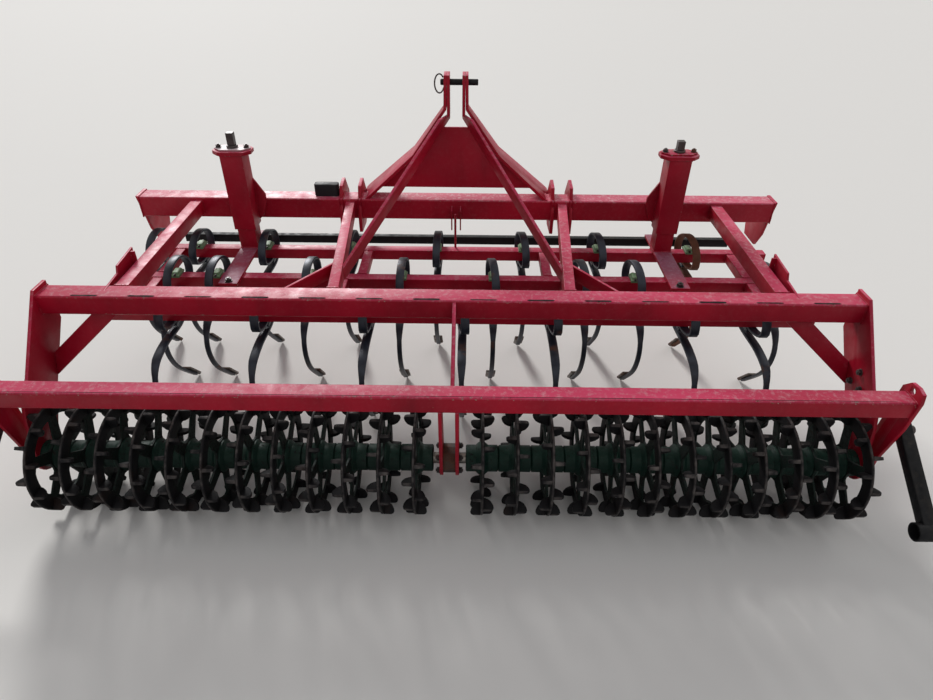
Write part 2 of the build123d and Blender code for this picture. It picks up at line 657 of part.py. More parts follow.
def make_shares():
    """Pointed plates on the front of each shank's end, whose tips touch the ground."""
    (y1, z1), (y2, z2) = tine_path()[-2:]
    run = math.hypot(y2 - y1, z2 - z1)
    down = Vector(0, (y2 - y1) / run, (z2 - z1) / run)
    out = Vector(0, -down.Z, down.Y)
    half = SHARE_WIDE / 2
    tip = 34.0
    outline = [(-half, 0), (half, 0), (half, SHARE_LONG - tip), (0, SHARE_LONG), (-half, SHARE_LONG - tip)]
    shares = []
    for bar_y, x in all_tines():
        seat = Vector(x, bar_y + y2, TINE_BAR_Z + z2) + out * (STRIP_THICK / 2)
        top = seat + down * (seat.Z / -down.Z - SHARE_LONG)
        face = Plane(origin=top, x_dir=(1, 0, 0), z_dir=-out)
        sign = 1 if face.y_dir.dot(down) > 0 else -1
        sketch = outlined([(a, sign * b) for a, b in outline])
        shares.append(Solid.extrude((face * sketch).face(), out * SHARE_THICK))
    return shares


# Rollers

def make_ring():
    """One ring on the axle line: a thin spoked web with lugs at its corners, on both sides in turn."""
    lug_count = 2 * LUGS_PER_SIDE
    step = math.tau / lug_count
    web = outlined([(ROLLER_R * math.cos(i * step), ROLLER_R * math.sin(i * step)) for i in range(lug_count)])
    inner = ROLLER_R * math.cos(step / 2) - RIM_DEPTH
    half_gap = math.pi / SPOKES - math.asin(SPOKE_WIDE / 2 / inner)
    for spoke in range(SPOKES):
        low = (HUB_R + HUB_FLANGE) / math.cos(math.pi / SPOKES)
        reach = inner * math.cos(half_gap), inner * math.sin(half_gap)
        window = [(low, 0), (reach[0], -reach[1]), (reach[0], reach[1])]
        web -= Rot(0, 0, (spoke + 0.5) * 360 / SPOKES) * outlined(window)
    ring = Solid.extrude((Plane.YZ.offset(-RING_WEB / 2) * web).face(), Vector(RING_WEB, 0, 0))
    lugs = []
    for index in range(lug_count):
        side = 1 if index % 2 else -1
        lug = make_lug(side * RING_WEB / 2, side * LUG_REACH, step)
        lugs.append(Rot(math.degrees(index * step) - 90, 0, 0) * lug)
    return ring.fuse(*lugs).clean()


def make_lug(web_x, tip_x, step):
    """A wedge lug at a corner of the rim: its top carries on the two flats and its sides run down the web."""
    half = LUG_THICK / 2
    shoulder = ROLLER_R - half * math.tan(step / 2)
    near = Vector(web_x, -half, shoulder)
    far = Vector(web_x, half, shoulder)
    corner = Vector(web_x, 0, ROLLER_R)
    low = Vector(web_x, 0, ROLLER_R - RIM_DEPTH)
    tip = Vector(tip_x, 0, ROLLER_R)
    sides = ((near, corner, tip), (corner, far, tip), (near, tip, low), (far, low, tip), (near, low, far, corner))
    return Solid(Shell([Face(Wire.make_polygon(corners)) for corners in sides]))


def make_roller():
    """The right roller: a hub tube with its rings, joined in one piece."""
    hub = [(HUB_R * math.cos(a), HUB_R * math.sin(a)) for a in (math.tau * i / HUB_SIDES for i in range(HUB_SIDES))]
    tube = Solid.extrude((Plane.YZ.offset(HUB_START_X) * outlined(hub)).face(), Vector(HUB_END_X - HUB_START_X, 0, 0))
    ring = make_ring()
    rings = [Pos(FIRST_RING_X + RING_PITCH * k, 0, 0) * Rot(RING_TURN * k, 0, 0) * ring for k in range(RING_COUNT)]
    roller = tube.fuse(*rings)
    return Pos(0, 0, ROLLER_Z) * roller


def make_journals():
    """Axle stubs of the right roller: one in the centre bearing, one in the end bearing."""
    reaches = ((4, HUB_START_X), (HUB_END_X, SIDE_PLATE_X + PLATE))
    return [pin_along_x(x, 0, ROLLER_Z, JOURNAL_R) for x in reaches]


# Swing arms

def make_arm():
    """Right swing arm: a square tube with a cross pipe at its free end."""
    run = math.hypot(FOOT_Y - ARM_PIVOT_Y, FOOT_Z - ARM_PIVOT_Z)
    tilt = math.degrees(math.atan2(FOOT_Z - ARM_PIVOT_Z, FOOT_Y - ARM_PIVOT_Y))
    tube = Box(ARM_TUBE, run + 42, ARM_TUBE)
    tube = Pos(ARM_X + ARM_TUBE / 2, ARM_PIVOT_Y, ARM_PIVOT_Z) * Rot(tilt, 0, 0) * Pos(0, (run - 42) / 2 , 0) * tube
    foot = bar_with_flats((ARM_X, ARM_X + FOOT_LONG), FOOT_Y, FOOT_Z, FOOT_R)
    bore = bar_with_flats((ARM_X, ARM_X + ARM_TUBE), ARM_PIVOT_Y, ARM_PIVOT_Z, ARM_PIN_R + RUNNING_GAP)
    return tube + foot - bore


# Origin at the middle of the footprint, on the ground
REAR_END = FOOT_Y - FOOT_R / math.cos(math.pi / FLATS)
FRONT_END = FRONT_BEAM_FRONT + 152
CENTRE_Y = (REAR_END + FRONT_END) / 2


def all_nodes():
    roller = make_roller()
    journals = make_journals()
    arm = make_arm()
    return {
        "front_beam": [hollow_section(FRAME_HALF, FRONT_BEAM_Y, FRONT_BEAM_DEEP, FRONT_BEAM_Z, FRONT_BEAM_TALL)],
        "rear_beam": [hollow_section(FRAME_HALF, REAR_BEAM_Y, REAR_BEAM_DEEP, REAR_BEAM_Z, REAR_BEAM_TALL)],
        "roller_beam": [hollow_section(SIDE_PLATE_X, ROLLER_BEAM_Y, ROLLER_BEAM_DEEP, ROLLER_BEAM_Z, ROLLER_BEAM_TALL)],
        "side_rails": make_side_rails(),
        "centre_rails": make_centre_rails(),
        "rail_brackets": make_rail_brackets(),
        "diagonal_braces": make_diagonal_braces(),
        "end_brackets": make_end_brackets(),
        "rear_legs": make_rear_legs(),
        "leg_braces": make_leg_braces(),
        "side_plates": make_side_plates(),
        "bearing_housings": make_bearing_housings(),
        "centre_link": make_centre_link(),
        "centre_hanger": make_centre_hanger(),
        "centre_bearing": make_centre_bearing(),
        "hitch_ears": make_hitch_ears(),
        "hitch_pins": make_hitch_pins(),
        "mast_legs": bored_for_top_pin(make_mast_legs()),
        "mast_stays": bored_for_top_pin(make_mast_stays()),
        "mast_plate": make_mast_plate(),
        "top_link_pin": make_top_pin(),
        "post_tubes": make_post_tubes(),
        "post_flanges": make_post_flanges(),
        "post_gussets": make_post_gussets(),
        "spindles": make_spindles(),
        "document_box": make_document_box(),
        "rod_bracket": make_rod_bracket(),
        "arm_pivots": make_arm_pivots(),
        "tine_bars": make_tine_bars(),
        "levelling_bar": make_levelling_bar(),
        "tine_rails": make_tine_rails(),
        "post_arms": make_post_arms(),
        "inner_posts": make_inner_posts(),
        "gauge_rod": make_gauge_rod(),
        "tines_front": make_tines(BAR_1_Y, TINES_BAR_1),
        "tines_middle": make_tines(BAR_2_Y, TINES_BAR_2),
        "tines_rear": make_tines(BAR_3_Y, TINES_BAR_3),
        "clamp_plates": make_clamp_plates(),
        "clamp_blocks": make_clamp_blocks(),
        "tine_shares": make_shares(),
        "roller_right": [roller],
        "roller_left": [mirrored(roller)],
        "journals_right": journals,
        "journals_left": [mirrored(journal) for journal in journals],
        "swing_arm_right": [arm],
        "swing_arm_left": [mirrored(arm)],
    }


def write_parts():
    os.makedirs("parts", exist_ok=True)
    for name, solids in all_nodes().items():
        placed = [Pos(0, -CENTRE_Y, 0) * piece for solid in solids for piece in solid.solids()]
        shape = placed[0] if len(placed) == 1 else Compound(placed)
        export_step(shape, "parts/" + name + ".step")


write_parts()
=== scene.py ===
import math

import bmesh
import bpy
from bpy.props import FloatProperty, FloatVectorProperty, IntProperty, PointerProperty
from mathutils import Matrix, Vector


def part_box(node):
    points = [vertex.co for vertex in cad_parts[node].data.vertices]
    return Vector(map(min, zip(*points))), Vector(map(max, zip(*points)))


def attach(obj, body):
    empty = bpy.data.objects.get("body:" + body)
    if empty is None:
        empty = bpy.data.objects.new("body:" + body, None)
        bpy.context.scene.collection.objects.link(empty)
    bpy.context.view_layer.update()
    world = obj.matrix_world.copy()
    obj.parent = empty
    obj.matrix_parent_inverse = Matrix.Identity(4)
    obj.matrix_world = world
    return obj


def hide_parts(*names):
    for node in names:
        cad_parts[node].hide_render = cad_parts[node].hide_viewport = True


bl_info = {
    "name": "Seedbed Cultivator",
    "version": (1, 0, 0),
    "blender": (4, 5, 0),
    "location": "3D View > Sidebar > Cultivator",
    "description": "Dresses the packed seedbed cultivator with its paint, castings, springs and bolts",
    "category": "Object",
}

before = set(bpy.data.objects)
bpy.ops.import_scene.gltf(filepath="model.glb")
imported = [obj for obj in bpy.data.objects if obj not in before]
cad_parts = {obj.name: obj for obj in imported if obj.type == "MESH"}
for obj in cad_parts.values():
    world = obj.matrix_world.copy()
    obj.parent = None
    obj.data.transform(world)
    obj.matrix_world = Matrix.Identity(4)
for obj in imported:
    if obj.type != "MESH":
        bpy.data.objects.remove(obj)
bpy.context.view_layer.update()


# Places read from the frame, in metres

def middle(node_name):
    low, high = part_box(node_name)
    return (low + high) / 2


AXLE_Y = middle("journals_right").y
AXLE_Z = middle("journals_right").z
ROLLER_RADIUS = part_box("roller_right")[1].z - AXLE_Z
HUB_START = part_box("roller_right")[0].x
HUB_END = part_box("roller_right")[1].x
FRAME_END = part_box("front_beam")[1].x
BEAM_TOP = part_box("front_beam")[1].z
REAR_BEAM_LOW, REAR_BEAM_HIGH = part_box("rear_beam")
ROLLER_BEAM_LOW, ROLLER_BEAM_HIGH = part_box("roller_beam")
TINE_BAR_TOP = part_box("tine_bars")[1].z
TINE_BAR_SIZE = 0.048
TINE_BAR_Z = TINE_BAR_TOP - TINE_BAR_SIZE / 2
SIDE_PLATE_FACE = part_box("side_plates")[1].x
POST_TUBE = 0.095
POST_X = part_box("post_tubes")[1].x - POST_TUBE / 2
POST_Y = middle("post_flanges").y
FLANGE_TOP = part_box("post_flanges")[1].z
HANGER_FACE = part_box("centre_hanger")[1].x
EAR_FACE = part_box("hitch_ears")[1].x
CAP_PLATE = 0.007
UPWARD = (0, 0, 0)

# Half the gap between the mast's legs; the stays end flush with it
CLEVIS_HALF = 0.0262

# How far the faces of each pair of hitch ears lie inside the outer face
EAR_FACES = (0, 0.015, 0.084, 0.099)

# Each row of tines: how far its bar stands ahead of the axle, and where along the bar its tines are
TINE_ROWS = {
    "tines_front": (1.061, (-1.385, -1.190, -0.875, -0.487, -0.084, 0.309, 0.657, 1.081)),
    "tines_middle": (0.789, (-1.200, -1.025, -0.620, -0.224, 0.165, 0.545, 0.776, 1.335)),
    "tines_rear": (0.517, (-1.130, -0.760, -0.342, 0.038, 0.397, 0.925, 1.198)),
}

# The one tine whose paint is gone, by its place on the front bar
RUSTED_TINE = 1.081


def ahead_of_axle(x, y, z):
    """A point whose y is measured forwards from the roller axle."""
    return Vector((x, AXLE_Y + y, z))


def srgb(red, green, blue):
    """A colour as it looks on screen, 0 to 255, as linear values with alpha."""
    def linear(value):
        value /= 255
        return value / 12.92 if value <= 0.04045 else ((value + 0.055) / 1.055) ** 2.4
    return linear(red), linear(green), linear(blue), 1.0


# Settings that a user would change

def colour(name, description, *default):
    return FloatVectorProperty(name=name, description=description, subtype="COLOR", size=4, min=0, max=1,
                               default=srgb(*default))


def length(name, description, default):
    return FloatProperty(name=name, description=description, default=default, min=0, unit="LENGTH")


class CultivatorPaint(bpy.types.PropertyGroup):
    crimson: colour("Frame paint", "Fresh colour of the frame's paint", 172, 8, 40)
    # The faded colour lies on top faces: partly real fading, partly painted sheen of sky and sun.
    fade_and_sheen: colour("Faded paint", "Colour of the paint where sun and dust lie on it", 204, 62, 98)
    clamp_green: colour("Clamp paint", "Colour of the tine clamps", 108, 138, 102)
    # The spokes take this colour darkened, as painted shade inside the rings.
    roller_green: colour("Roller paint", "Colour left on the roller's hubs and spokes", 8, 38, 30)
    rust: colour("Rust", "Colour of rust and dried soil", 104, 62, 40)


class CultivatorSizes(bpy.types.PropertyGroup):
    plate_edge: length("Plate edge", "Width of the broken edge of a plate", 0.0012)
    tube_corner: length("Tube corner", "Extra rounding of a tube's long corners", 0.0022)
    strip_width: length("Tine width", "Width of a spring tine's strip", 0.034)
    shank_width: length("Shank width", "Width of a spring tine's shank", 0.020)
    strip_thick: length("Tine thickness", "Thickness of a spring tine's strip", 0.011)
    ring_count: IntProperty(name="Rings", description="Rings on each roller", default=12, min=2)
    lug_count: IntProperty(name="Lugs", description="Lugs on the two sides of each ring", default=20, min=4)
    spoke_count: IntProperty(name="Spokes", description="Spokes of each ring", default=5, min=3)
    weld_radius: length("Weld bead", "Radius of a weld bead", 0.004)
    bolt_across: length("Bolt size", "Width of a bolt head across its flats", 0.019)


class CultivatorStage(bpy.types.PropertyGroup):
    floor: colour("Floor", "Colour of the floor and backdrop", 226, 223, 218)
    key: FloatProperty(name="Key light", description="Strength of the light from the front left",
                       default=2.6, min=0)
    fill: FloatProperty(name="Fill", description="Strength of the even light from all round",
                        default=0.42, min=0)
    lens: FloatProperty(name="Lens", description="Focal length of the camera",
                        default=24.88, min=1, unit="CAMERA")


# Nodes and trees

def feed(tree, node, inputs):
    """Set a node's inputs, each to a value, a socket, or another node's first output."""
    for key, value in inputs.items():
        if isinstance(value, bpy.types.Node):
            value = value.outputs[0]
        if isinstance(value, bpy.types.NodeSocket):
            tree.links.new(value, node.inputs[key])
        else:
            node.inputs[key].default_value = value


def add(tree, kind, inputs=None, **settings):
    """Add a node with its settings and inputs."""
    made = tree.nodes.new(kind)
    for name, value in settings.items():
        setattr(made, name, value)
    feed(tree, made, inputs or {})
    return made


def new_tree(name, sockets):
    """A geometry tree with named inputs, each as (kind, default), and the sockets that give them."""
    tree = bpy.data.node_groups.new(name, "GeometryNodeTree")
    for way in ("OUTPUT", "INPUT"):
        tree.interface.new_socket("Geometry", in_out=way, socket_type="NodeSocketGeometry")
    for label, (kind, default) in sockets.items():
        socket = tree.interface.new_socket(label, in_out="INPUT", socket_type="NodeSocket" + kind)
        if default is not None:
            socket.default_value = default
    return tree, tree.nodes.new("NodeGroupInput").outputs


def end_tree(tree, geometry, material):
    """Close a tree with realized instances and one material."""
    real = add(tree, "GeometryNodeRealizeInstances", {"Geometry": geometry})
    painted = add(tree, "GeometryNodeSetMaterial", {"Geometry": real, "Material": material})
    add(tree, "NodeGroupOutput", {"Geometry": painted})
    return tree


def linked(name, data):
    """A new object in the scene that has this data."""
    data.name = name
    made = bpy.data.objects.new(name, data)
    bpy.context.scene.collection.objects.link(made)
    return made


def baked(holder):
    """The plain mesh of an object as Blender works it out; the object itself is removed."""
    bpy.context.view_layer.update()
    mesh = bpy.data.meshes.new_from_object(holder.evaluated_get(bpy.context.evaluated_depsgraph_get()))
    bpy.data.objects.remove(holder)
    return mesh


def grown(name, mesh, tree, **values):
    """Run a geometry tree on a mesh and return the result as a plain object at the origin."""
    seed = linked(name + "_seed", mesh)
    modifier = seed.modifiers.new("shape", "NODES")
    modifier.node_group = tree
    by_name = {item.name: item.identifier for item in tree.interface.items_tree if item.in_out == "INPUT"}
    for key, value in values.items():
        modifier[by_name[key]] = value
    return linked(name, baked(seed))


def fitted(piece, body, slot_name, *nodes):
    """Give a piece its body, and let it stand for CAD nodes."""
    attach(piece, body)
    if nodes:
        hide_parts(*nodes)
    return piece


def coated(name, mesh, finish, body, slot_name, *nodes):
    """A finished piece from a mesh that has one material."""
    mesh.materials.append(MATERIALS[finish])
    return fitted(linked(name, mesh), body, slot_name, *nodes)


# Meshes

def smooth(mesh, angle=35):
    """Shade smooth, with edges sharper than the angle kept hard."""
    mesh.polygons.foreach_set("use_smooth", [True] * len(mesh.polygons))
    mesh.set_sharp_from_angle(angle=math.radians(angle))


def plain(shape, name):
    """Turn a bmesh into a mesh."""
    mesh = bpy.data.meshes.new(name)
    shape.to_mesh(mesh)
    shape.free()
    return mesh


def finished(shape, name, angle=35):
    """Turn a bmesh into a mesh with its faces outwards and smooth shading."""
    bmesh.ops.recalc_face_normals(shape, faces=shape.faces)
    mesh = plain(shape, name)
    smooth(mesh, angle)
    return mesh


def merged_shape(node_name):
    """A CAD node's shape with its triangles joined into whole faces."""
    shape = bmesh.new()
    shape.from_mesh(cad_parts[node_name].data)
    bmesh.ops.remove_doubles(shape, verts=shape.verts, dist=1e-5)
    bmesh.ops.dissolve_limit(shape, angle_limit=math.radians(1), verts=shape.verts, edges=shape.edges)
    return shape


def everything(shape):
    """Every corner, edge and face of a bmesh."""
    return shape.verts[:] + shape.edges[:] + shape.faces[:]


def cut_flush(shape, inner):
    """Cut a symmetric shape off where it reaches nearer to the middle than the inner distance."""
    bmesh.ops.delete(shape, geom=[vert for vert in shape.verts if vert.co.x < 0], context="VERTS")
    bmesh.ops.bisect_plane(shape, geom=everything(shape), plane_co=(inner, 0, 0), plane_no=(1, 0, 0),
                           clear_inner=True)
    bmesh.ops.holes_fill(shape, edges=[edge for edge in shape.edges if edge.is_boundary], sides=0)
    for item in bmesh.ops.duplicate(shape, geom=everything(shape))["geom"]:
        if isinstance(item, bmesh.types.BMVert):
            item.co.x = -item.co.x
    bmesh.ops.recalc_face_normals(shape, faces=shape.faces)


def bevelled(piece, width, angle, segments=2):
    """Round a piece's edges that are sharper than the angle."""
    bevel = piece.modifiers.new("edges", "BEVEL")
    bevel.width = width
    bevel.segments = segments
    bevel.limit_method = "ANGLE"
    bevel.angle_limit = math.radians(angle)
    return bevel


def edged(node_name, body, slot_name, faces, edges, width, segments=2, inner=0):
    """A CAD node with rounded edges whose narrow faces wear more than the rest."""
    shape = merged_shape(node_name)
    if inner:
        cut_flush(shape, inner)
    mesh = plain(shape, node_name)
    for finish in (faces, edges):
        mesh.materials.append(MATERIALS[finish])
    mesh.polygons.foreach_set("material_index", [0] * len(mesh.polygons))
    mesh.polygons.foreach_set("use_smooth", [True] * len(mesh.polygons))
    piece = linked("dressed_" + node_name, mesh)
    bevel = bevelled(piece, width, 28, segments)
    bevel.material = 1
    bevel.harden_normals = True
    bevel.miter_outer = "MITER_ARC"
    return fitted(piece, body, slot_name, node_name)


def sharper(shape, angle):
    """The edges of a closed bmesh that are sharper than the angle."""
    bmesh.ops.recalc_face_normals(shape, faces=shape.faces)
    return [edge for edge in shape.edges if edge.calc_face_angle(0) > math.radians(angle)]


def eased(shape, edges, offset, segments=2, profile=0.6):
    """Round some edges of a bmesh."""
    bmesh.ops.bevel(shape, geom=edges, offset=offset, segments=segments, affect="EDGES", profile=profile)


def band(shape, first, second):
    """Join two loops of corners by a band of faces."""
    for step in range(len(first)):
        after = (step + 1) % len(first)
        shape.faces.new((first[step], first[after], second[after], second[step]))


def prism(shape, outline, bottom, top):
    """Add the solid that an outline makes between two heights."""
    lower, upper = ([shape.verts.new((x, y, z)) for x, y in outline] for z in (bottom, top))
    shape.faces.new(lower)
    shape.faces.new(upper)
    band(shape, lower, upper)


def turns(count, first=0, last=None):
    """Angles at equal steps of a full turn."""
    return [math.tau * step / count for step in range(first, count if last is None else last)]


def polar(radius, angle):
    """A point on a circle, as two coordinates."""
    return radius * math.cos(angle), radius * math.sin(angle)


def lathed(shape, profile, segments=40, turn=Matrix.Identity(4)):
    """Add to a bmesh the solid of (height, radius) points turned round Z, then placed by a matrix."""
    rings = []
    for height, radius in profile:
        angles = turns(segments) if radius else [0]
        rings.append([shape.verts.new(turn @ Vector((*polar(radius, a), height))) for a in angles])
    for low, high in zip(rings, rings[1:]):
        if len(low) == len(high):
            band(shape, low, high)
            continue
        for step in range(segments):
            after = (step + 1) % segments
            if len(low) == 1:
                shape.faces.new((low[0], high[after], high[step]))
            else:
                shape.faces.new((low[step], low[after], high[0]))


def capped(profile):
    """A turned profile closed to the axis at both ends."""
    return [(profile[0][0], 0), *profile, (profile[-1][0], 0)]


def rod(start, end, radius, first=0.002, last=0.002):
    """The profile of a round bar with a chamfer at each end."""
    return [(start, radius - first), (start + first, radius), (end - last, radius), (end, radius - last)]


def axis_along_x(at):
    """Turns Z into X and moves to a point."""
    return Matrix.Translation(at) @ Matrix.Rotation(math.pi / 2, 4, "Y")


def points_mesh(places):
    """A mesh of loose points, each with the turn that its copy takes: (place, (rx, ry, rz))."""
    mesh = bpy.data.meshes.new("places")
    mesh.from_pydata([tuple(place) for place, _ in places], [], [])
    angles = mesh.attributes.new("turn", "FLOAT_VECTOR", "POINT")
    angles.data.foreach_set("vector", [value for _, turn in places for value in turn])
    return mesh


def paths_mesh(paths):
    """A mesh of open lines, one for each list of points."""
    points = []
    edges = []
    for path in paths:
        start = len(points)
        points += [tuple(point) for point in path]
        edges += [(start + step, start + step + 1) for step in range(len(path) - 1)]
    mesh = bpy.data.meshes.new("paths")
    mesh.from_pydata(points, edges, [])
    return mesh


def curve_mesh(name, lines, closed, radius, rounding, **settings):
    """The mesh of straight-sided curves with a round bevel."""
    curve = bpy.data.curves.new(name, "CURVE")
    curve.bevel_depth = radius
    curve.bevel_resolution = rounding
    for key, value in settings.items():
        setattr(curve, key, value)
    for points in lines:
        spline = curve.splines.new("POLY")
        spline.points.add(len(points) - 1)
        for point, place in zip(spline.points, points):
            point.co = (*place, 1)
        spline.use_cyclic_u = closed
    return baked(linked(name, curve))


def absorb(shape, mesh):
    """Move a scratch mesh into a bmesh."""
    shape.from_mesh(mesh)
    bpy.data.meshes.remove(mesh)


# Geometry trees

def copies_tree():
    """Copies a piece to every point of a mesh, turned by the points' own turn."""
    tree, given = new_tree("copies_at_points", {"Piece": ("Object", None), "Size": ("Float", 1.0),
                                                "Material": ("Material", None)})
    piece = add(tree, "GeometryNodeObjectInfo", {"Object": given["Piece"]})
    turn = add(tree, "GeometryNodeInputNamedAttribute", {"Name": "turn"}, data_type="FLOAT_VECTOR")
    rotation = add(tree, "FunctionNodeEulerToRotation", {"Euler": turn.outputs["Attribute"]})
    copies = add(tree, "GeometryNodeInstanceOnPoints", {
        "Points": given["Geometry"], "Instance": piece.outputs["Geometry"], "Rotation": rotation,
        "Scale": given["Size"]})
    return end_tree(tree, copies, given["Material"])


def rings_tree():
    """Repeats a ring along the axle, each one turned a little more than the last."""
    tree, given = new_tree("rings_on_axle", {
        "Ring": ("Object", None), "Count": ("Int", 12), "First": ("Vector", None),
        "Pitch": ("Float", 0.117), "Turn": ("Float", 0.1), "Material": ("Material", None)})
    step = add(tree, "ShaderNodeCombineXYZ", {"X": given["Pitch"]})
    line = add(tree, "GeometryNodeMeshLine", {"Count": given["Count"], "Start Location": given["First"],
                                              "Offset": step}, mode="OFFSET")
    index = add(tree, "GeometryNodeInputIndex")
    angle = add(tree, "ShaderNodeMath", {0: index, 1: given["Turn"]}, operation="MULTIPLY")
    euler = add(tree, "ShaderNodeCombineXYZ", {"X": angle})
    rotation = add(tree, "FunctionNodeEulerToRotation", {"Euler": euler})
    ring = add(tree, "GeometryNodeObjectInfo", {"Object": given["Ring"]})
    copies = add(tree, "GeometryNodeInstanceOnPoints", {
        "Points": line, "Instance": ring.outputs["Geometry"], "Rotation": rotation})
    return end_tree(tree, copies, given["Material"])


def strip_tree():
    """Sweeps a rounded flat strip along a smooth line and copies it to each tine's place."""
    tree, given = new_tree("sprung_strips", {
        "Places": ("Object", None), "Width": ("Float", 0.045), "Thickness": ("Float", 0.011),
        "Edge": ("Float", 0.003), "Neck Top": ("Float", -0.080), "Neck Bottom": ("Float", -0.130),
        "Narrow": ("Float", 0.45), "Material": ("Material", None)})
    line = add(tree, "GeometryNodeMeshToCurve", {"Mesh": given["Geometry"]})
    bent = add(tree, "GeometryNodeCurveSplineType", {"Curve": line}, spline_type="CATMULL_ROM")
    even = add(tree, "GeometryNodeResampleCurve", {"Curve": bent, "Count": 72})
    upright = add(tree, "GeometryNodeSetCurveNormal", {"Curve": even, "Normal": (1, 0, 0)}, mode="FREE")
    section = add(tree, "GeometryNodeCurvePrimitiveQuadrilateral",
                  {"Width": given["Width"], "Height": given["Thickness"]})
    rounded = add(tree, "GeometryNodeFilletCurve", {"Curve": section, "Radius": given["Edge"], "Count": 2},
                  mode="POLY")
    strip = add(tree, "GeometryNodeCurveToMesh", {
        "Curve": upright, "Profile Curve": rounded, "Fill Caps": True})
    parts = add(tree, "ShaderNodeSeparateXYZ", {0: add(tree, "GeometryNodeInputPosition")})
    share = add(tree, "ShaderNodeMapRange", {
        "Value": parts.outputs["Z"], "From Min": given["Neck Bottom"], "From Max": given["Neck Top"],
        "To Min": given["Narrow"], "To Max": 1.0})
    across = add(tree, "ShaderNodeMath", {0: parts.outputs["X"], 1: share}, operation="MULTIPLY")
    moved = add(tree, "ShaderNodeCombineXYZ", {
        "X": across, "Y": parts.outputs["Y"], "Z": parts.outputs["Z"]})
    necked = add(tree, "GeometryNodeSetPosition", {"Geometry": strip, "Position": moved})
    places = add(tree, "GeometryNodeObjectInfo", {"Object": given["Places"]})
    copies = add(tree, "GeometryNodeInstanceOnPoints", {
        "Points": places.outputs["Geometry"], "Instance": necked})
    return end_tree(tree, copies, given["Material"])


def bead_tree():
    """Lays a rippled weld bead along every line."""
    tree, given = new_tree("weld_beads", {"Radius": ("Float", 0.004), "Ripple": ("Float", 0.003),
                                          "Seed": ("Int", 7), "Material": ("Material", None)})
    line = add(tree, "GeometryNodeMeshToCurve", {"Mesh": given["Geometry"]})
    even = add(tree, "GeometryNodeResampleCurve", {"Curve": line, "Length": given["Ripple"]}, mode="LENGTH")
    uneven = add(tree, "FunctionNodeRandomValue", {2: 0.72, 3: 1.12, 8: given["Seed"]}, data_type="FLOAT")
    section = add(tree, "GeometryNodeCurvePrimitiveCircle", {"Resolution": 6, "Radius": given["Radius"]})
    bead = add(tree, "GeometryNodeCurveToMesh", {
        "Curve": even, "Profile Curve": section, "Scale": uneven.outputs[1], "Fill Caps": True})
    return end_tree(tree, bead, given["Material"])


# Materials

def shader(name, roughness=0.5):
    """A new material with its tree and its one shader."""
    material = bpy.data.materials.new(name)
    material.use_nodes = True
    surface = material.node_tree.nodes["Principled BSDF"]
    surface.inputs["Roughness"].default_value = roughness
    return material, material.node_tree, surface


def noise(tree, scale, detail=4.0, rough=0.55, stretch=None):
    """Noise on the piece's own coordinates, in copies per metre."""
    place = add(tree, "ShaderNodeTexCoord").outputs["Object"]
    if stretch:
        place = add(tree, "ShaderNodeMapping", {"Vector": place, "Scale": stretch})
    made = add(tree, "ShaderNodeTexNoise", {
        "Vector": place, "Scale": scale, "Detail": detail, "Roughness": rough})
    return made.outputs["Fac"]


def ramp(tree, value, low, high, start=0.0, end=1.0):
    """Map a value between low and high to start and end, and hold it outside."""
    return add(tree, "ShaderNodeMapRange", {"Value": value, "From Min": low, "From Max": high,
                                            "To Min": start, "To Max": end})


def mix(tree, factor, first, second):
    """The first colour, turning into the second as the factor goes to 1."""
    return add(tree, "ShaderNodeMix", {0: factor, 6: first, 7: second}, data_type="RGBA").outputs[2]


def times(tree, first, second, operation="MULTIPLY"):
    """Two numbers multiplied, or joined by the named operation, held between 0 and 1."""
    return add(tree, "ShaderNodeMath", {0: first, 1: second}, operation=operation, use_clamp=True)


def darker(paint, share):
    """A colour with its channels cut to a share, and full alpha."""
    return tuple(channel * share for channel in paint[:3]) + (1,)


def facing_up(tree):
    """1 on faces that look up, 0 on upright and lower faces."""
    normal = add(tree, "ShaderNodeTexCoord").outputs["Normal"]
    height = add(tree, "ShaderNodeSeparateXYZ", {"Vector": normal}).outputs["Z"]
    return ramp(tree, height, 0.45, 0.95)


def bump(tree, height, strength, distance):
    return add(tree, "ShaderNodeBump", {"Height": height, "Strength": strength, "Distance": distance})


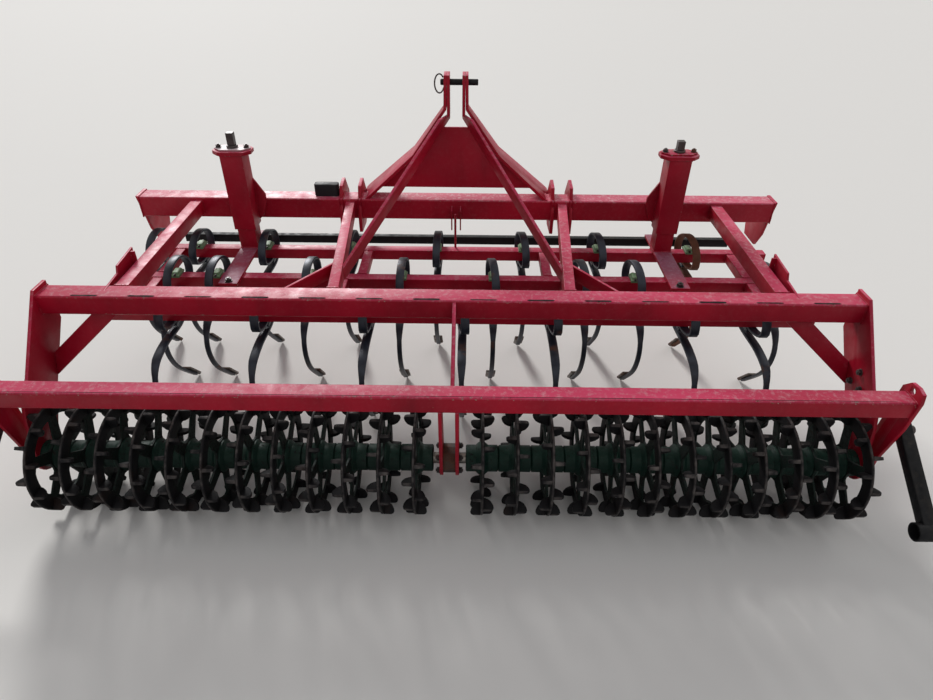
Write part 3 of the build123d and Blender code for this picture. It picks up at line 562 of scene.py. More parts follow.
def worn_paint(name, paint, fade_and_sheen, rust, bare, chips, gloss, dust):
    """Paint that is lighter on top, partly from real fading and partly as painted sheen of sky and sun,
    gathers dust, and is chipped to primer, rust and bare steel.
    """
    material, tree, surface = shader(name)
    base = mix(tree, ramp(tree, noise(tree, 2.2), 0.35, 0.68), darker(paint, 0.6), paint)
    runs = ramp(tree, noise(tree, 14, detail=6, rough=0.6, stretch=(1, 1, 0.2)), 0.5, 0.8, 0, 0.45)
    base = mix(tree, runs, base, darker(paint, 0.35))
    top = facing_up(tree)
    streaks = ramp(tree, noise(tree, 6, detail=6, rough=0.65, stretch=(0.25, 1, 1)), 0.3, 0.7, 0.3, 1.0)
    # Top faces turn towards the faded colour: partly real fading, partly painted sheen of sky and sun.
    base = mix(tree, times(tree, top, streaks), base, fade_and_sheen)
    speckle = ramp(tree, noise(tree, 55, detail=8, rough=0.75), 0.5, 0.68)
    base = mix(tree, times(tree, speckle, ramp(tree, top, 0, 1, 0.03, 0.55)), base, dust)
    chipped = ramp(tree, noise(tree, 75, detail=7, rough=0.62), 0.72 - chips, 0.76 - chips)
    patches = ramp(tree, noise(tree, 5.5, detail=3), 0.42, 0.6)
    chipped = times(tree, chipped, ramp(tree, patches, 0, 1, 0.35, 1))
    rusty = mix(tree, ramp(tree, noise(tree, 140), 0.4, 0.62), rust, bare)
    matt = ramp(tree, noise(tree, 18, detail=6), 0.3, 0.75, gloss, gloss + 0.25)
    skin = times(tree, noise(tree, 240, detail=3), 0.25)
    height = times(tree, skin, times(tree, chipped, 0.6), "SUBTRACT")
    feed(tree, surface, {"Base Color": mix(tree, chipped, base, rusty),
                         "Roughness": times(tree, matt, times(tree, chipped, 0.35), "ADD"),
                         "Specular IOR Level": 0.22, "Normal": bump(tree, height, 0.35, 0.0006)})
    return material


def bare_steel(name, light, rust, rusted, roughness, metallic):
    """Worn steel or iron with rust and dried soil in patches."""
    material, tree, surface = shader(name)
    patches = ramp(tree, noise(tree, 8, detail=8, rough=0.7), 0.62 - rusted * 0.3, 0.72 - rusted * 0.15)
    clean = mix(tree, ramp(tree, noise(tree, 40, detail=6), 0.3, 0.7), darker(light, 0.5), light)
    brown = mix(tree, noise(tree, 120), rust, darker(rust, 0.4))
    grain = noise(tree, 200, detail=6, rough=0.65)
    feed(tree, surface, {"Base Color": mix(tree, patches, clean, brown),
                         "Metallic": ramp(tree, patches, 0, 1, metallic, 0.1),
                         "Roughness": ramp(tree, patches, 0, 1, roughness, 0.85),
                         "Normal": bump(tree, grain, 0.4, 0.0008)})
    return material


def from_axle(tree):
    """Distance from the roller's axle line, in metres."""
    place = add(tree, "ShaderNodeTexCoord").outputs["Object"]
    moved = add(tree, "ShaderNodeVectorMath", {0: place, 1: (0, -AXLE_Y, -AXLE_Z)}, operation="ADD")
    flat = add(tree, "ShaderNodeVectorMath", {0: moved, 1: (0, 1, 1)}, operation="MULTIPLY")
    return add(tree, "ShaderNodeVectorMath", {0: flat}, operation="LENGTH").outputs["Value"]


def ring_iron(name, rust):
    """Cast iron, worn bright in patches at the lugs' tips and near black towards the spokes, partly the
    iron's own tone and partly painted shade, with patches of earth.
    """
    material, tree, surface = shader(name)
    blur = times(tree, noise(tree, 35, detail=6), 0.016)
    edge = times(tree, from_axle(tree), blur, "ADD")
    polished = ramp(tree, edge, ROLLER_RADIUS + 0.006, ROLLER_RADIUS + 0.012, 0, 0.8)
    # The near-black tone is partly the iron's own colour and partly painted shade of the rings.
    dark = mix(tree, noise(tree, 60, detail=6), srgb(5, 5, 8), srgb(20, 19, 22))
    brown = ramp(tree, noise(tree, 9, detail=7, rough=0.7), 0.55, 0.72)
    dark = mix(tree, times(tree, brown, 0.25), dark, darker(rust, 0.4))
    grain = noise(tree, 160, detail=8, rough=0.7)
    feed(tree, surface, {"Base Color": mix(tree, polished, dark, srgb(92, 86, 84)),
                         "Metallic": ramp(tree, polished, 0, 1, 0.1, 0.6),
                         "Roughness": ramp(tree, polished, 0, 1, 0.66, 0.36),
                         "Specular IOR Level": 0.2, "Normal": bump(tree, grain, 0.5, 0.0012)})
    return material


def matte_black(name, light, dark, roughness):
    """Black paint or plastic with dust."""
    material, tree, surface = shader(name)
    dusty = times(tree, ramp(tree, noise(tree, 22, detail=8, rough=0.7), 0.5, 0.8),
                  ramp(tree, facing_up(tree), 0, 1, 0.02, 0.35))
    base = mix(tree, noise(tree, 6), dark, light)
    matt = ramp(tree, noise(tree, 40), 0.3, 0.7, roughness - 0.1, roughness + 0.2)
    grain = noise(tree, 300, detail=3)
    feed(tree, surface, {"Base Color": mix(tree, dusty, base, srgb(96, 84, 74)), "Roughness": matt,
                         "Specular IOR Level": 0.2, "Normal": bump(tree, grain, 0.2, 0.0004)})
    return material


MATERIALS = {}


def make_materials():
    paint = bpy.context.scene.cultivator_paint
    crimson, fade_and_sheen, clamp, green, rust = (
        tuple(getattr(paint, name)) for name in ("crimson", "fade_and_sheen", "clamp_green", "roller_green", "rust"))
    steel = srgb(150, 142, 134)
    gloss = 0.36
    dust = (196, 160, 164)
    for key, name, *look, dirt in (
            ("crimson", "crimson_paint", crimson, fade_and_sheen, rust, steel, 0.02, gloss, dust),
            ("crimson_edge", "crimson_paint_edge", crimson, fade_and_sheen, rust, steel, 0.15, gloss, dust),
            ("weld", "weld_paint", darker(crimson, 0.9), fade_and_sheen, rust, steel, 0.1, gloss, dust),
            ("clamp", "clamp_paint", clamp, srgb(150, 186, 140), rust, steel, 0.08, gloss, (196, 200, 176)),
            # The front beam's paler top colour and near-white dust are painted glare of the sun on its top,
            # over some real dust.
            ("front_crimson", "front_beam_paint", crimson, srgb(214, 96, 122), rust, steel, 0.03, gloss,
             (230, 220, 218)),
            ("arm_crimson", "arm_paint", crimson, srgb(150, 96, 118), rust, srgb(70, 56, 60), 0.07, gloss,
             (176, 150, 162)),
            # The left cap plate's pale colours are painted glare of the sun on its top; the right plate keeps
            # the crimson paint.
            ("pale_cap", "pale_cap", srgb(206, 150, 156), srgb(244, 232, 230), rust, steel, 0.03, gloss,
             (250, 248, 246)),
            ("hub_green", "hub_paint", green, srgb(16, 48, 38), srgb(26, 20, 18), srgb(30, 29, 30), 0.14,
             0.5, (52, 70, 60)),
            # The spokes take the roller paint at less than half its brightness: painted shade inside the
            # rings.
            ("spoke_green", "spoke_paint", darker(green, 0.45), srgb(18, 34, 30), srgb(30, 25, 23),
             srgb(24, 23, 25), 0.2, 0.55, (44, 46, 44))):
        MATERIALS[key] = worn_paint(name, *look, srgb(*dirt))
    for key, name, light, rusted, roughness, metallic in (
            ("steel", "worn_steel", (150, 144, 138), 0.35, 0.38, 0.85),
            ("dark_steel", "dark_steel", (78, 70, 70), 0.3, 0.45, 0.6),
            ("bright_steel", "bright_steel", (190, 186, 180), 0.1, 0.28, 0.85),
            ("spring", "spring_steel", (36, 42, 56), 0.12, 0.45, 0.35),
            ("rusted_spring", "rusted_spring", (110, 66, 44), 0.6, 0.7, 0.2),
            ("share", "share_steel", (112, 104, 98), 0.45, 0.4, 0.85),
            ("housing", "cast_housing", (60, 52, 48), 0.6, 0.6, 0.3)):
        MATERIALS[key] = bare_steel(name, srgb(*light), rust, rusted, roughness, metallic)
    for key, name, light, dark, roughness in (
            ("black", "black_paint", (16, 17, 21), (6, 7, 9), 0.55),
            # The seam colour is painted shade in the open seams.
            ("gap", "seam_painted_shade", (30, 16, 20), (12, 8, 10), 0.8),
            ("plastic", "black_plastic", (40, 41, 44), (24, 25, 28), 0.5)):
        MATERIALS[key] = matte_black(name, srgb(*light), srgb(*dark), roughness)
    MATERIALS["iron"] = ring_iron("roller_iron", rust)


# Pieces

class CULTIVATOR_OT_frame(bpy.types.Operator):
    """Dress the welded frame: beams, rails, plates and the mast"""
    bl_idname = "cultivator.frame"
    bl_label = "Frame"

    tubes = ("front_beam", "rear_beam", "roller_beam", "side_rails", "centre_rails", "post_tubes")
    plates = ("rail_brackets", "diagonal_braces", "end_brackets", "rear_legs", "leg_braces", "side_plates",
              "centre_link", "centre_hanger", "hitch_ears", "mast_legs", "mast_stays", "mast_plate",
              "post_flanges", "post_gussets", "rod_bracket")
    castings = ("bearing_housings", "centre_bearing")

    def execute(self, context):
        sizes = context.scene.cultivator_sizes
        for name in self.tubes:
            # The front beam takes the paint with painted glare on its top.
            faces = "front_crimson" if name == "front_beam" else "crimson"
            edged(name, "frame", "crimson_paint", faces, "crimson_edge", sizes.tube_corner)
        for name in self.plates:
            inner = CLEVIS_HALF if name == "mast_stays" else 0
            edged(name, "frame", "crimson_paint", "crimson", "crimson_edge", sizes.plate_edge, inner=inner)
        for name in self.castings:
            edged(name, "frame", "cast_housing", "housing", "housing", sizes.plate_edge)
        return {"FINISHED"}


class CULTIVATOR_OT_seams(bpy.types.Operator):
    """Lay thin dark strips along the tops of the rear beam and the roller beam: painted shade in the open
    stretches of their stitched seams
    """
    bl_idname = "cultivator.seams"
    bl_label = "Seams"

    first_gap = -1.330
    gap_long = 0.096
    gap_pitch = 0.1995
    gap_count = 14
    gap_inset = 0.0105
    gap_half = 0.0044
    gap_swell = 0.0012
    gap_growth = 0.0004
    seam_ends = 0.070
    seam_half = 0.0011
    seam_inset = 0.0095

    def execute(self, context):
        shape = bmesh.new()
        for step in range(self.gap_count):
            half = (self.gap_half + self.gap_swell * math.sin(2.4 * step)
                    + self.gap_growth * step / self.gap_count)
            x = self.first_gap + step * self.gap_pitch
            place = (x, REAR_BEAM_LOW.y + self.gap_inset, REAR_BEAM_HIGH.z)
            self.gap(shape, place, self.gap_long, half)
        end = SIDE_PLATE_FACE - self.seam_ends
        place = (-end, ROLLER_BEAM_LOW.y + self.seam_inset, ROLLER_BEAM_HIGH.z)
        self.gap(shape, place, 2 * end, self.seam_half)
        coated("seam_gaps", finished(shape, "seam_gaps"), "gap", "frame", "crimson_paint")
        return {"FINISHED"}

    def gap(self, shape, place, long, half):
        """One open stretch between two welds, tapered at both ends, drawn as a thin dark sheet of painted
        shade.
        """
        x, y, top = place
        outline = [(0, 0.2), (0.07, 0.9), (0.35, 0.75), (0.7, 1), (0.95, 0.8), (1, 0.1)]
        edge = [(x + along * long, y + share * half) for along, share in outline]
        edge += [(x + along * long, y - share * half) for along, share in outline[::-1]]
        prism(shape, edge, top - 0.001, top + 0.0006)


class CULTIVATOR_OT_pins(bpy.types.Operator):
    """Turn the hitch pins, spindles, pivots and journals"""
    bl_idname = "cultivator.pins"
    bl_label = "Pins"

    hitch_radius = 0.0183
    hitch_long = 0.131
    pivot_long = 0.066
    screw_radius = 0.015
    head_size = 0.030
    right_head_drop = 0.016

    def execute(self, context):
        self.hitch_pins()
        self.top_pin()
        self.spindles()
        self.pivots()
        self.journals()
        return {"FINISHED"}

    def turned(self, node_name, finish, solids, sides=(-1, 1), name=None, body="frame"):
        """Turn solids of (start, profile) on the node's line along X, on the sides that are named."""
        name = name or "turned_" + node_name
        centre = middle(node_name)
        shape = bmesh.new()
        for side in sides:
            for start, profile in solids:
                placed = [(side * along, radius) for along, radius in profile]
                lathed(shape, capped(placed), turn=axis_along_x((side * start, centre.y, centre.z)))
        coated(name, finished(shape, name), finish, body, "worn_steel", node_name)

    def hitch_pins(self):
        radius, long = self.hitch_radius, self.hitch_long
        collar = long - 0.010
        profile = [(0, radius - 0.004), (0.006, radius), (collar - 0.003, radius), (collar, radius - 0.003),
                   (collar, radius + 0.006), (collar + 0.002, radius + 0.008), (long - 0.002, radius + 0.008),
                   (long, radius + 0.006)]
        self.turned("hitch_pins", "bright_steel", [(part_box("hitch_pins")[1].x - long, profile)])

    def top_pin(self):
        low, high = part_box("top_link_pin")
        radius = (high.z - low.z) / 2
        long = high.x - low.x
        profile = [(0, radius - 0.003), (0.004, radius), (long - 0.002, radius), (long, radius - 0.002)]
        self.turned("top_link_pin", "black", [(low.x, profile)], (1,), "turned_top_pin")

    def pivots(self):
        low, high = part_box("arm_pivots")
        radius = (high.z - low.z) / 2
        long = self.pivot_long
        profile = [(0, radius), (long - 0.002, radius), (long, radius - 0.002)]
        self.turned("arm_pivots", "dark_steel", [(SIDE_PLATE_FACE, profile)], name="turned_pivots")

    def journals(self):
        for side, end in ((1, "right"), (-1, "left")):
            low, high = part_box("journals_" + end)
            radius = (high.z - low.z) / 2
            inner, outer = sorted((abs(low.x), abs(high.x)))
            solids = []
            for first, last in ((inner, HUB_START), (HUB_END, outer)):
                solids.append((first, rod(0, last - first, radius)))
            self.turned("journals_" + end, "steel", solids, (side,), body="roller_" + end)

    def spindles(self):
        low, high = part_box("spindles")
        radius = self.screw_radius
        seat = FLANGE_TOP + CAP_PLATE
        bottom = seat + 0.010
        shape = bmesh.new()
        for side, drop in ((-1, 0), (1, self.right_head_drop)):
            at = Matrix.Translation((side * POST_X, POST_Y, 0))
            screw = [(low.z, radius - 0.003), (low.z + 0.004, radius), (FLANGE_TOP + 0.002, radius)]
            lathed(shape, capped(screw), turn=at)
            collar = [(seat, 0.024), (bottom - 0.002, 0.024), (bottom, 0.022)]
            lathed(shape, capped(collar), turn=at)
            head = bmesh.ops.create_cube(shape, size=1.0)["verts"]
            top = high.z - drop
            size = Matrix.Diagonal((self.head_size, self.head_size, top - bottom, 1))
            lift = Matrix.Translation((0, 0, (top + bottom) / 2))
            bmesh.ops.transform(shape, matrix=at @ lift @ size, verts=head)
        mesh = finished(shape, "turned_spindles")
        piece = coated("turned_spindles", mesh, "dark_steel", "frame", "worn_steel", "spindles")
        bevelled(piece, 0.0015, 60)


class CULTIVATOR_OT_clips(bpy.types.Operator):
    """Bend the spring clip of the top pin and the linch pins of the hitch"""
    bl_idname = "cultivator.clips"
    bl_label = "Clips"

    clip_half = (0.020, 0.004, 0.0368)
    clip_wire = 0.0032
    clip_out = 0.004
    clip_down = 0.006
    ring_radius = 0.027
    ring_wire = 0.002
    linch_wire = 0.0045
    linch_ends = (0.034, -0.030)
    linch_stand = 0.011

    def execute(self, context):
        top = middle("top_link_pin")
        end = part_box("top_link_pin")[0].x
        centre = Vector((end - self.clip_out, top.y, top.z - self.clip_down))
        wide, deep, tall = self.clip_half
        clip = [centre + Vector((wide * math.cos(a), deep * math.sin(a), tall * math.sin(a)))
                for a in turns(28, 3, 27)]
        wires = [(clip, self.clip_wire)]
        pins = middle("hitch_pins")
        inner = EAR_FACE - EAR_FACES[-1] - self.linch_stand
        for side in (-1, 1):
            at = Vector((side * inner, pins.y, pins.z))
            ring = [at + Vector((0, *polar(self.ring_radius, a))) for a in turns(24, 0, 25)]
            linch = [at + Vector((0, 0, height)) for height in self.linch_ends]
            wires += [(ring, self.ring_wire), (linch, self.linch_wire)]
        shape = bmesh.new()
        for points, radius in wires:
            wire = curve_mesh("wire", [points], False, radius, 2, dimensions="3D", use_fill_caps=True)
            absorb(shape, wire)
        mesh = plain(shape, "wire_clips")
        smooth(mesh, 50)
        coated("wire_clips", mesh, "dark_steel", "frame", "worn_steel")
        return {"FINISHED"}


class CULTIVATOR_OT_cap_plates(bpy.types.Operator):
    """Make the cap plates on the flanges of the depth posts"""
    bl_idname = "cultivator.cap_plates"
    bl_label = "Cap plates"

    half_x = 0.077
    half_y = 0.036
    corner = 0.030

    def execute(self, context):
        # The left cap plate gets the pale paint with painted glare; the right one is crimson.
        for side, end, finish in ((-1, "left", "pale_cap"), (1, "right", "crimson_edge")):
            coated("cap_plate_" + end, self.plate(side), finish, "frame", "crimson_paint")
        return {"FINISHED"}

    def plate(self, side):
        """A lozenge plate with clipped corners."""
        long, wide, cut = self.half_x, self.half_y, self.corner
        half = [(long, cut - wide), (long, wide - cut), (long - cut, wide), (cut - long, wide)]
        outline = half + [(-x, -y) for x, y in half]
        placed = [(side * POST_X + x, POST_Y + y) for x, y in outline]
        shape = bmesh.new()
        prism(shape, placed, FLANGE_TOP, FLANGE_TOP + CAP_PLATE)
        eased(shape, sharper(shape, 30), 0.0012)
        return finished(shape, "cap_plate")


class CULTIVATOR_OT_document_box(bpy.types.Operator):
    """Make the black box for papers on the front beam"""
    bl_idname = "cultivator.document_box"
    bl_label = "Document box"

    def execute(self, context):
        edged("document_box", "frame", "black_plastic", "plastic", "plastic", 0.004, 3)
        return {"FINISHED"}


class CULTIVATOR_OT_tine_frame(bpy.types.Operator):
    """Dress the tine frame's bars, rails, arms and posts"""
    bl_idname = "cultivator.tine_frame"
    bl_label = "Tine frame"

    rod_below_beam_top = 0.051

    def execute(self, context):
        sizes = context.scene.cultivator_sizes
        tube, plate = sizes.tube_corner, sizes.plate_edge
        for name, slot_name, faces, edges, width in (
                ("tine_bars", "crimson_paint", "crimson", "crimson_edge", tube),
                ("tine_rails", "crimson_paint", "crimson", "crimson_edge", tube),
                ("inner_posts", "crimson_paint", "crimson", "crimson_edge", tube),
                ("post_arms", "crimson_paint", "arm_crimson", "crimson_edge", plate),
                ("levelling_bar", "black_paint", "black", "black", tube)):
            edged(name, "tine_frame", slot_name, faces, edges, width)
        self.gauge_rod()
        for name, slot_name, finish in (("clamp_blocks", "spring_steel", "spring"),
                                        ("tine_shares", "share_steel", "share")):
            edged(name, "tine_frame", slot_name, finish, finish, plate)
        return {"FINISHED"}

    def gauge_rod(self):
        """The round rod that stands on the front bar and shows the depth behind the front beam."""
        low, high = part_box("gauge_rod")
        centre = middle("gauge_rod")
        radius = (high.x - low.x) / 2
        top = BEAM_TOP - self.rod_below_beam_top
        shape = bmesh.new()
        at = Matrix.Translation((centre.x, centre.y, 0))
        lathed(shape, capped(rod(low.z, top, radius, first=0.001)), 16, at)
        mesh = finished(shape, "turned_gauge_rod")
        coated("turned_gauge_rod", mesh, "crimson_edge", "tine_frame", "worn_steel", "gauge_rod")


def tine_line(side):
    """Middle line of a tine's strip from its bar's centre: clamp end, loop leaning outwards, and shank."""
    under = -0.0295
    half_long = 0.108
    half_tall = 0.083
    rise = 0.012
    lean = 0.012 if side > 0 else 0.004
    line = [(0, 0.020, under), (0, -0.016, under), (side * lean * 0.4, -0.052, under)]
    for degrees in range(198, -91, -24):
        angle = math.radians(degrees)
        line.append((-side * lean * math.cos(angle), half_long * math.cos(angle),
                     rise + half_tall * math.sin(angle)))
    shank = [(-0.124, -0.068), (-0.222, -0.092), (-0.268, -0.176), (-0.232, -0.296), (-0.098, -0.446)]
    return line + [(0, y, z) for y, z in shank]


def on_tine_bars(above, *ahead):
    """Places above the bar at every tine, as far ahead of the bar's middle as is asked."""
    return [(ahead_of_axle(x, bar_y + along, TINE_BAR_TOP + above), UPWARD)
            for bar_y, row in TINE_ROWS.values() for x in row for along in ahead]


class CULTIVATOR_OT_tines(bpy.types.Operator):
    """Sweep the spring tines, each a flat strip with its loop round the bar"""
    bl_idname = "cultivator.tines"
    bl_label = "Spring tines"

    strip_edge = 0.0028

    def execute(self, context):
        sizes = context.scene.cultivator_sizes
        tree = strip_tree()
        for name, (bar_y, row) in TINE_ROWS.items():
            for group, side, finish in (("left", -1, "spring"), ("right", 1, "spring"),
                                        ("rusted", 1, "rusted_spring")):
                rusted = group == "rusted"
                points = [(ahead_of_axle(x, bar_y, TINE_BAR_Z), UPWARD) for x in row
                          if x * side > 0 and (x == RUSTED_TINE) == rusted]
                if not points:
                    continue
                spots = linked("tine_spots", points_mesh(points))
                piece = grown("sprung_" + name + "_" + group, paths_mesh([tine_line(side)]), tree,
                              Places=spots, Width=sizes.strip_width, Thickness=sizes.strip_thick,
                              Edge=self.strip_edge, Narrow=sizes.shank_width / sizes.strip_width,
                              Material=MATERIALS[finish])
                bpy.data.objects.remove(spots)
                smooth(piece.data)
                fitted(piece, "tine_frame", "spring_steel", *([name] if group == "left" else []))
        return {"FINISHED"}


class CULTIVATOR_OT_clamps(bpy.types.Operator):
    """Cast the green tine clamps, one on the bar inside each loop"""
    bl_idname = "cultivator.clamps"
    bl_label = "Tine clamps"

    # Height, half width and half length of each level of the casting
    levels = ((0.0, 0.018, 0.033), (0.009, 0.018, 0.033), (0.013, 0.015, 0.026), (0.021, 0.012, 0.021))

    def execute(self, context):
        master = linked("clamp_master", self.casting())
        piece = grown("cast_clamps", points_mesh(on_tine_bars(0, 0)), copies_tree(), Piece=master,
                      Material=MATERIALS["clamp"])
        bpy.data.objects.remove(master)
        smooth(piece.data)
        fitted(piece, "tine_frame", "clamp_paint", "clamp_plates")
        return {"FINISHED"}

    def casting(self):
        """A tapered saddle with eased edges."""
        shape = bmesh.new()
        rings = []
        for height, wide, long in self.levels:
            corners = ((-wide, -long), (wide, -long), (wide, long), (-wide, long))
            rings.append([shape.verts.new((x, y, height)) for x, y in corners])
        for low, high in zip(rings, rings[1:]):
            band(shape, low, high)
        shape.faces.new(rings[0][::-1])
        shape.faces.new(rings[-1])
        eased(shape, shape.edges[:], 0.0016)
        return finished(shape, "clamp")


class CULTIVATOR_OT_rollers(bpy.types.Operator):
    """Cast the roller rings: iron rims with wedge lugs, green spokes and hubs"""
    bl_idname = "cultivator.rollers"
    bl_label = "Ring rollers"

    first_ring = 0.116
    half_web = 0.005
    rim_depth = 0.046
    lug_reach = 0.040
    lug_thick = 0.014
    half_spoke = 0.013
    spoke_gap_corner = 0.006
    bore = 0.030
    hub_radius = 0.048
    hub_swell = 0.011
    hub_joint = 0.0006
    ring_turn = math.radians(7)

    def execute(self, context):
        sizes = context.scene.cultivator_sizes
        pitch = (HUB_END - self.lug_reach - self.first_ring) / (sizes.ring_count - 1)
        tree = rings_tree()
        for side, name in ((1, "roller_right"), (-1, "roller_left")):
            # The spokes' darker green is painted shade inside the rings.
            for part, mesh, finish in (("rims", self.rim(side, sizes.lug_count), "iron"),
                                       ("spokes", self.spokes(sizes.spoke_count), "spoke_green"),
                                       ("hubs", self.hub(pitch), "hub_green")):
                master = linked("ring_master", mesh)
                piece = grown(name + "_" + part, bpy.data.meshes.new("empty"), tree, Ring=master,
                              Count=sizes.ring_count, First=(side * self.first_ring, AXLE_Y, AXLE_Z),
                              Pitch=side * pitch, Turn=self.ring_turn, Material=MATERIALS[finish])
                bpy.data.objects.remove(master)
                smooth(piece.data, 32)
                fitted(piece, name, "roller_iron", *([name] if part == "rims" else []))
        return {"FINISHED"}

    def rim(self, side, lug_count):
        """A rounded band with lugs on its two sides in turn, about the X axis."""
        shape = bmesh.new()
        radius = ROLLER_RADIUS
        inner = radius - self.rim_depth
        half = self.half_web
        section = [(-half + 0.001, inner), (-half, inner + 0.003), (-half, radius - 0.003),
                   (-half + 0.003, radius), (half - 0.003, radius), (half, radius - 0.003),
                   (half, inner + 0.003), (half - 0.001, inner)]
        rings = [[shape.verts.new((x, *polar(r, angle))) for x, r in section]
                 for angle in turns(3 * lug_count)]
        for ring, after in zip(rings, rings[1:] + rings[:1]):
            band(shape, ring, after)
        for index, angle in enumerate(turns(lug_count)):
            self.lug(shape, side if index % 2 else -side, angle)
        return finished(shape, "rim", 32)

    def lug(self, shape, facing, angle):
        """One lug: a wedge that stands out sideways from the rim, thinner at its tip."""
        half = self.half_web - 0.001
        outline = [(half, 0.0, 1.0), (0.030, 0.0, 0.84), (0.037, -0.003, 0.78),
                   (self.lug_reach, -0.010, 0.76), (0.038, -0.020, 0.78), (0.030, -0.034, 0.86),
                   (0.018, -0.042, 0.93), (half, -self.rim_depth, 1.0)]
        turn = Matrix.Rotation(angle - math.pi / 2, 4, "X")
        made = bmesh.new()
        fronts = []
        backs = []
        for x, drop, share in outline:
            for corners, way in ((fronts, -1), (backs, 1)):
                wide = way * self.lug_thick / 2 * share
                corners.append(made.verts.new(turn @ Vector((facing * x, wide, ROLLER_RADIUS + drop))))
        made.faces.new(fronts)
        made.faces.new(backs[::-1])
        band(made, backs, fronts)
        eased(made, sharper(made, 50), 0.0016)
        absorb(shape, plain(made, "lug"))

    def spokes(self, count):
        """The spoked web between hub and rim, cut from one plate."""
        outer = ROLLER_RADIUS - self.rim_depth + 0.004
        opening = ROLLER_RADIUS - self.rim_depth - 0.003
        inner = self.hub_radius + 0.014
        corner = self.spoke_gap_corner
        lines = [[polar(outer, a) for a in turns(60)], [polar(self.bore, a) for a in turns(20)]]
        for spoke in range(count):
            centre = math.tau * (spoke + 0.5) / count
            window = []
            for reach, way, steps in ((opening, 1, 9), (inner, -1, 4)):
                width = math.pi / count - math.asin((self.half_spoke + 0.006) / reach)
                for k in range(steps):
                    soften = corner if k in (0, steps - 1) else 0
                    angle = centre + way * width * (2 * k / (steps - 1) - 1)
                    window.append(polar(reach - way * soften, angle))
            lines.append(window)
        flat = [[(y, z, 0) for y, z in points] for points in lines]
        mesh = curve_mesh("web", flat, True, 0.0012, 1, dimensions="2D", fill_mode="BOTH", extrude=0.0028)
        mesh.transform(Matrix(((0, 0, 1, 0), (1, 0, 0, 0), (0, 1, 0, 0), (0, 0, 0, 1))))
        return mesh

    def hub(self, pitch):
        """The boss of one ring, which meets the next ring's boss on the axle."""
        half = pitch / 2 - self.hub_joint
        small = self.hub_radius
        big = small + self.hub_swell
        near = [(half, small - 0.004), (half - 0.003, small), (0.022, small), (0.010, big)]
        profile = [(-along, radius) for along, radius in near] + near[::-1]
        shape = bmesh.new()
        lathed(shape, capped(profile), 32, axis_along_x((0, 0, 0)))
        return finished(shape, "hub", 32)


class CULTIVATOR_OT_swing_arms(bpy.types.Operator):
    """Make the swing arms at the roller's ends: a square tube and an open pipe across its foot"""
    bl_idname = "cultivator.swing_arms"
    bl_label = "Swing arms"

    tube_size = 0.046
    past_pivot = 0.034
    spread = 0.024
    # Places in the arm's plane: forwards from the axle, and height
    pivot = (-0.038, 0.395)
    foot = (-0.300, 0.190)
    foot_radius = 0.031
    foot_long = 0.150
    pipe_wall = 0.005
    pipe_deep = 0.030

    def execute(self, context):
        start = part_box("swing_arm_right")[0].x
        for side, name in ((1, "swing_arm_right"), (-1, "swing_arm_left")):
            shape = bmesh.new()
            self.tube(shape, start + self.tube_size / 2)
            self.pipe(shape, start)
            if side < 0:
                bmesh.ops.transform(shape, matrix=Matrix.Diagonal((-1, 1, 1, 1)), verts=shape.verts)
            coated("made_" + name, finished(shape, "made_" + name), "black", name, "black_paint", name)
        return {"FINISHED"}

    def tube(self, shape, x):
        """The square tube from just past its pivot to the pipe."""
        top = ahead_of_axle(x, *self.pivot)
        bottom = ahead_of_axle(x, *self.foot)
        run = (bottom - top).length
        bar = bmesh.ops.create_cube(shape, size=1.0)["verts"]
        size = Matrix.Diagonal((self.tube_size, run + self.past_pivot, self.tube_size, 1))
        slope = math.atan2(bottom.z - top.z, bottom.y - top.y)
        along = Matrix.Translation((0, (run - self.past_pivot) / 2, 0))
        place = Matrix.Translation(top) @ Matrix.Rotation(slope, 4, "X") @ along
        bmesh.ops.transform(shape, matrix=place @ size, verts=bar)
        for vert in bar:
            vert.co.x += self.spread * (top.z - vert.co.z) / (top.z - bottom.z)
        edges = list({edge for vert in bar for edge in vert.link_edges})
        eased(shape, edges, 0.005, 3, 0.5)

    def pipe(self, shape, x):
        """The cross pipe, open at both ends."""
        inner, outer = self.foot_radius - self.pipe_wall, self.foot_radius
        long, deep = self.foot_long, self.pipe_deep
        profile = [(deep, 0), (deep, inner), (0, inner), (0, outer), (long, outer), (long, inner),
                   (long - deep, inner), (long - deep, 0)]
        lathed(shape, profile, 32, axis_along_x(ahead_of_axle(x, *self.foot)))


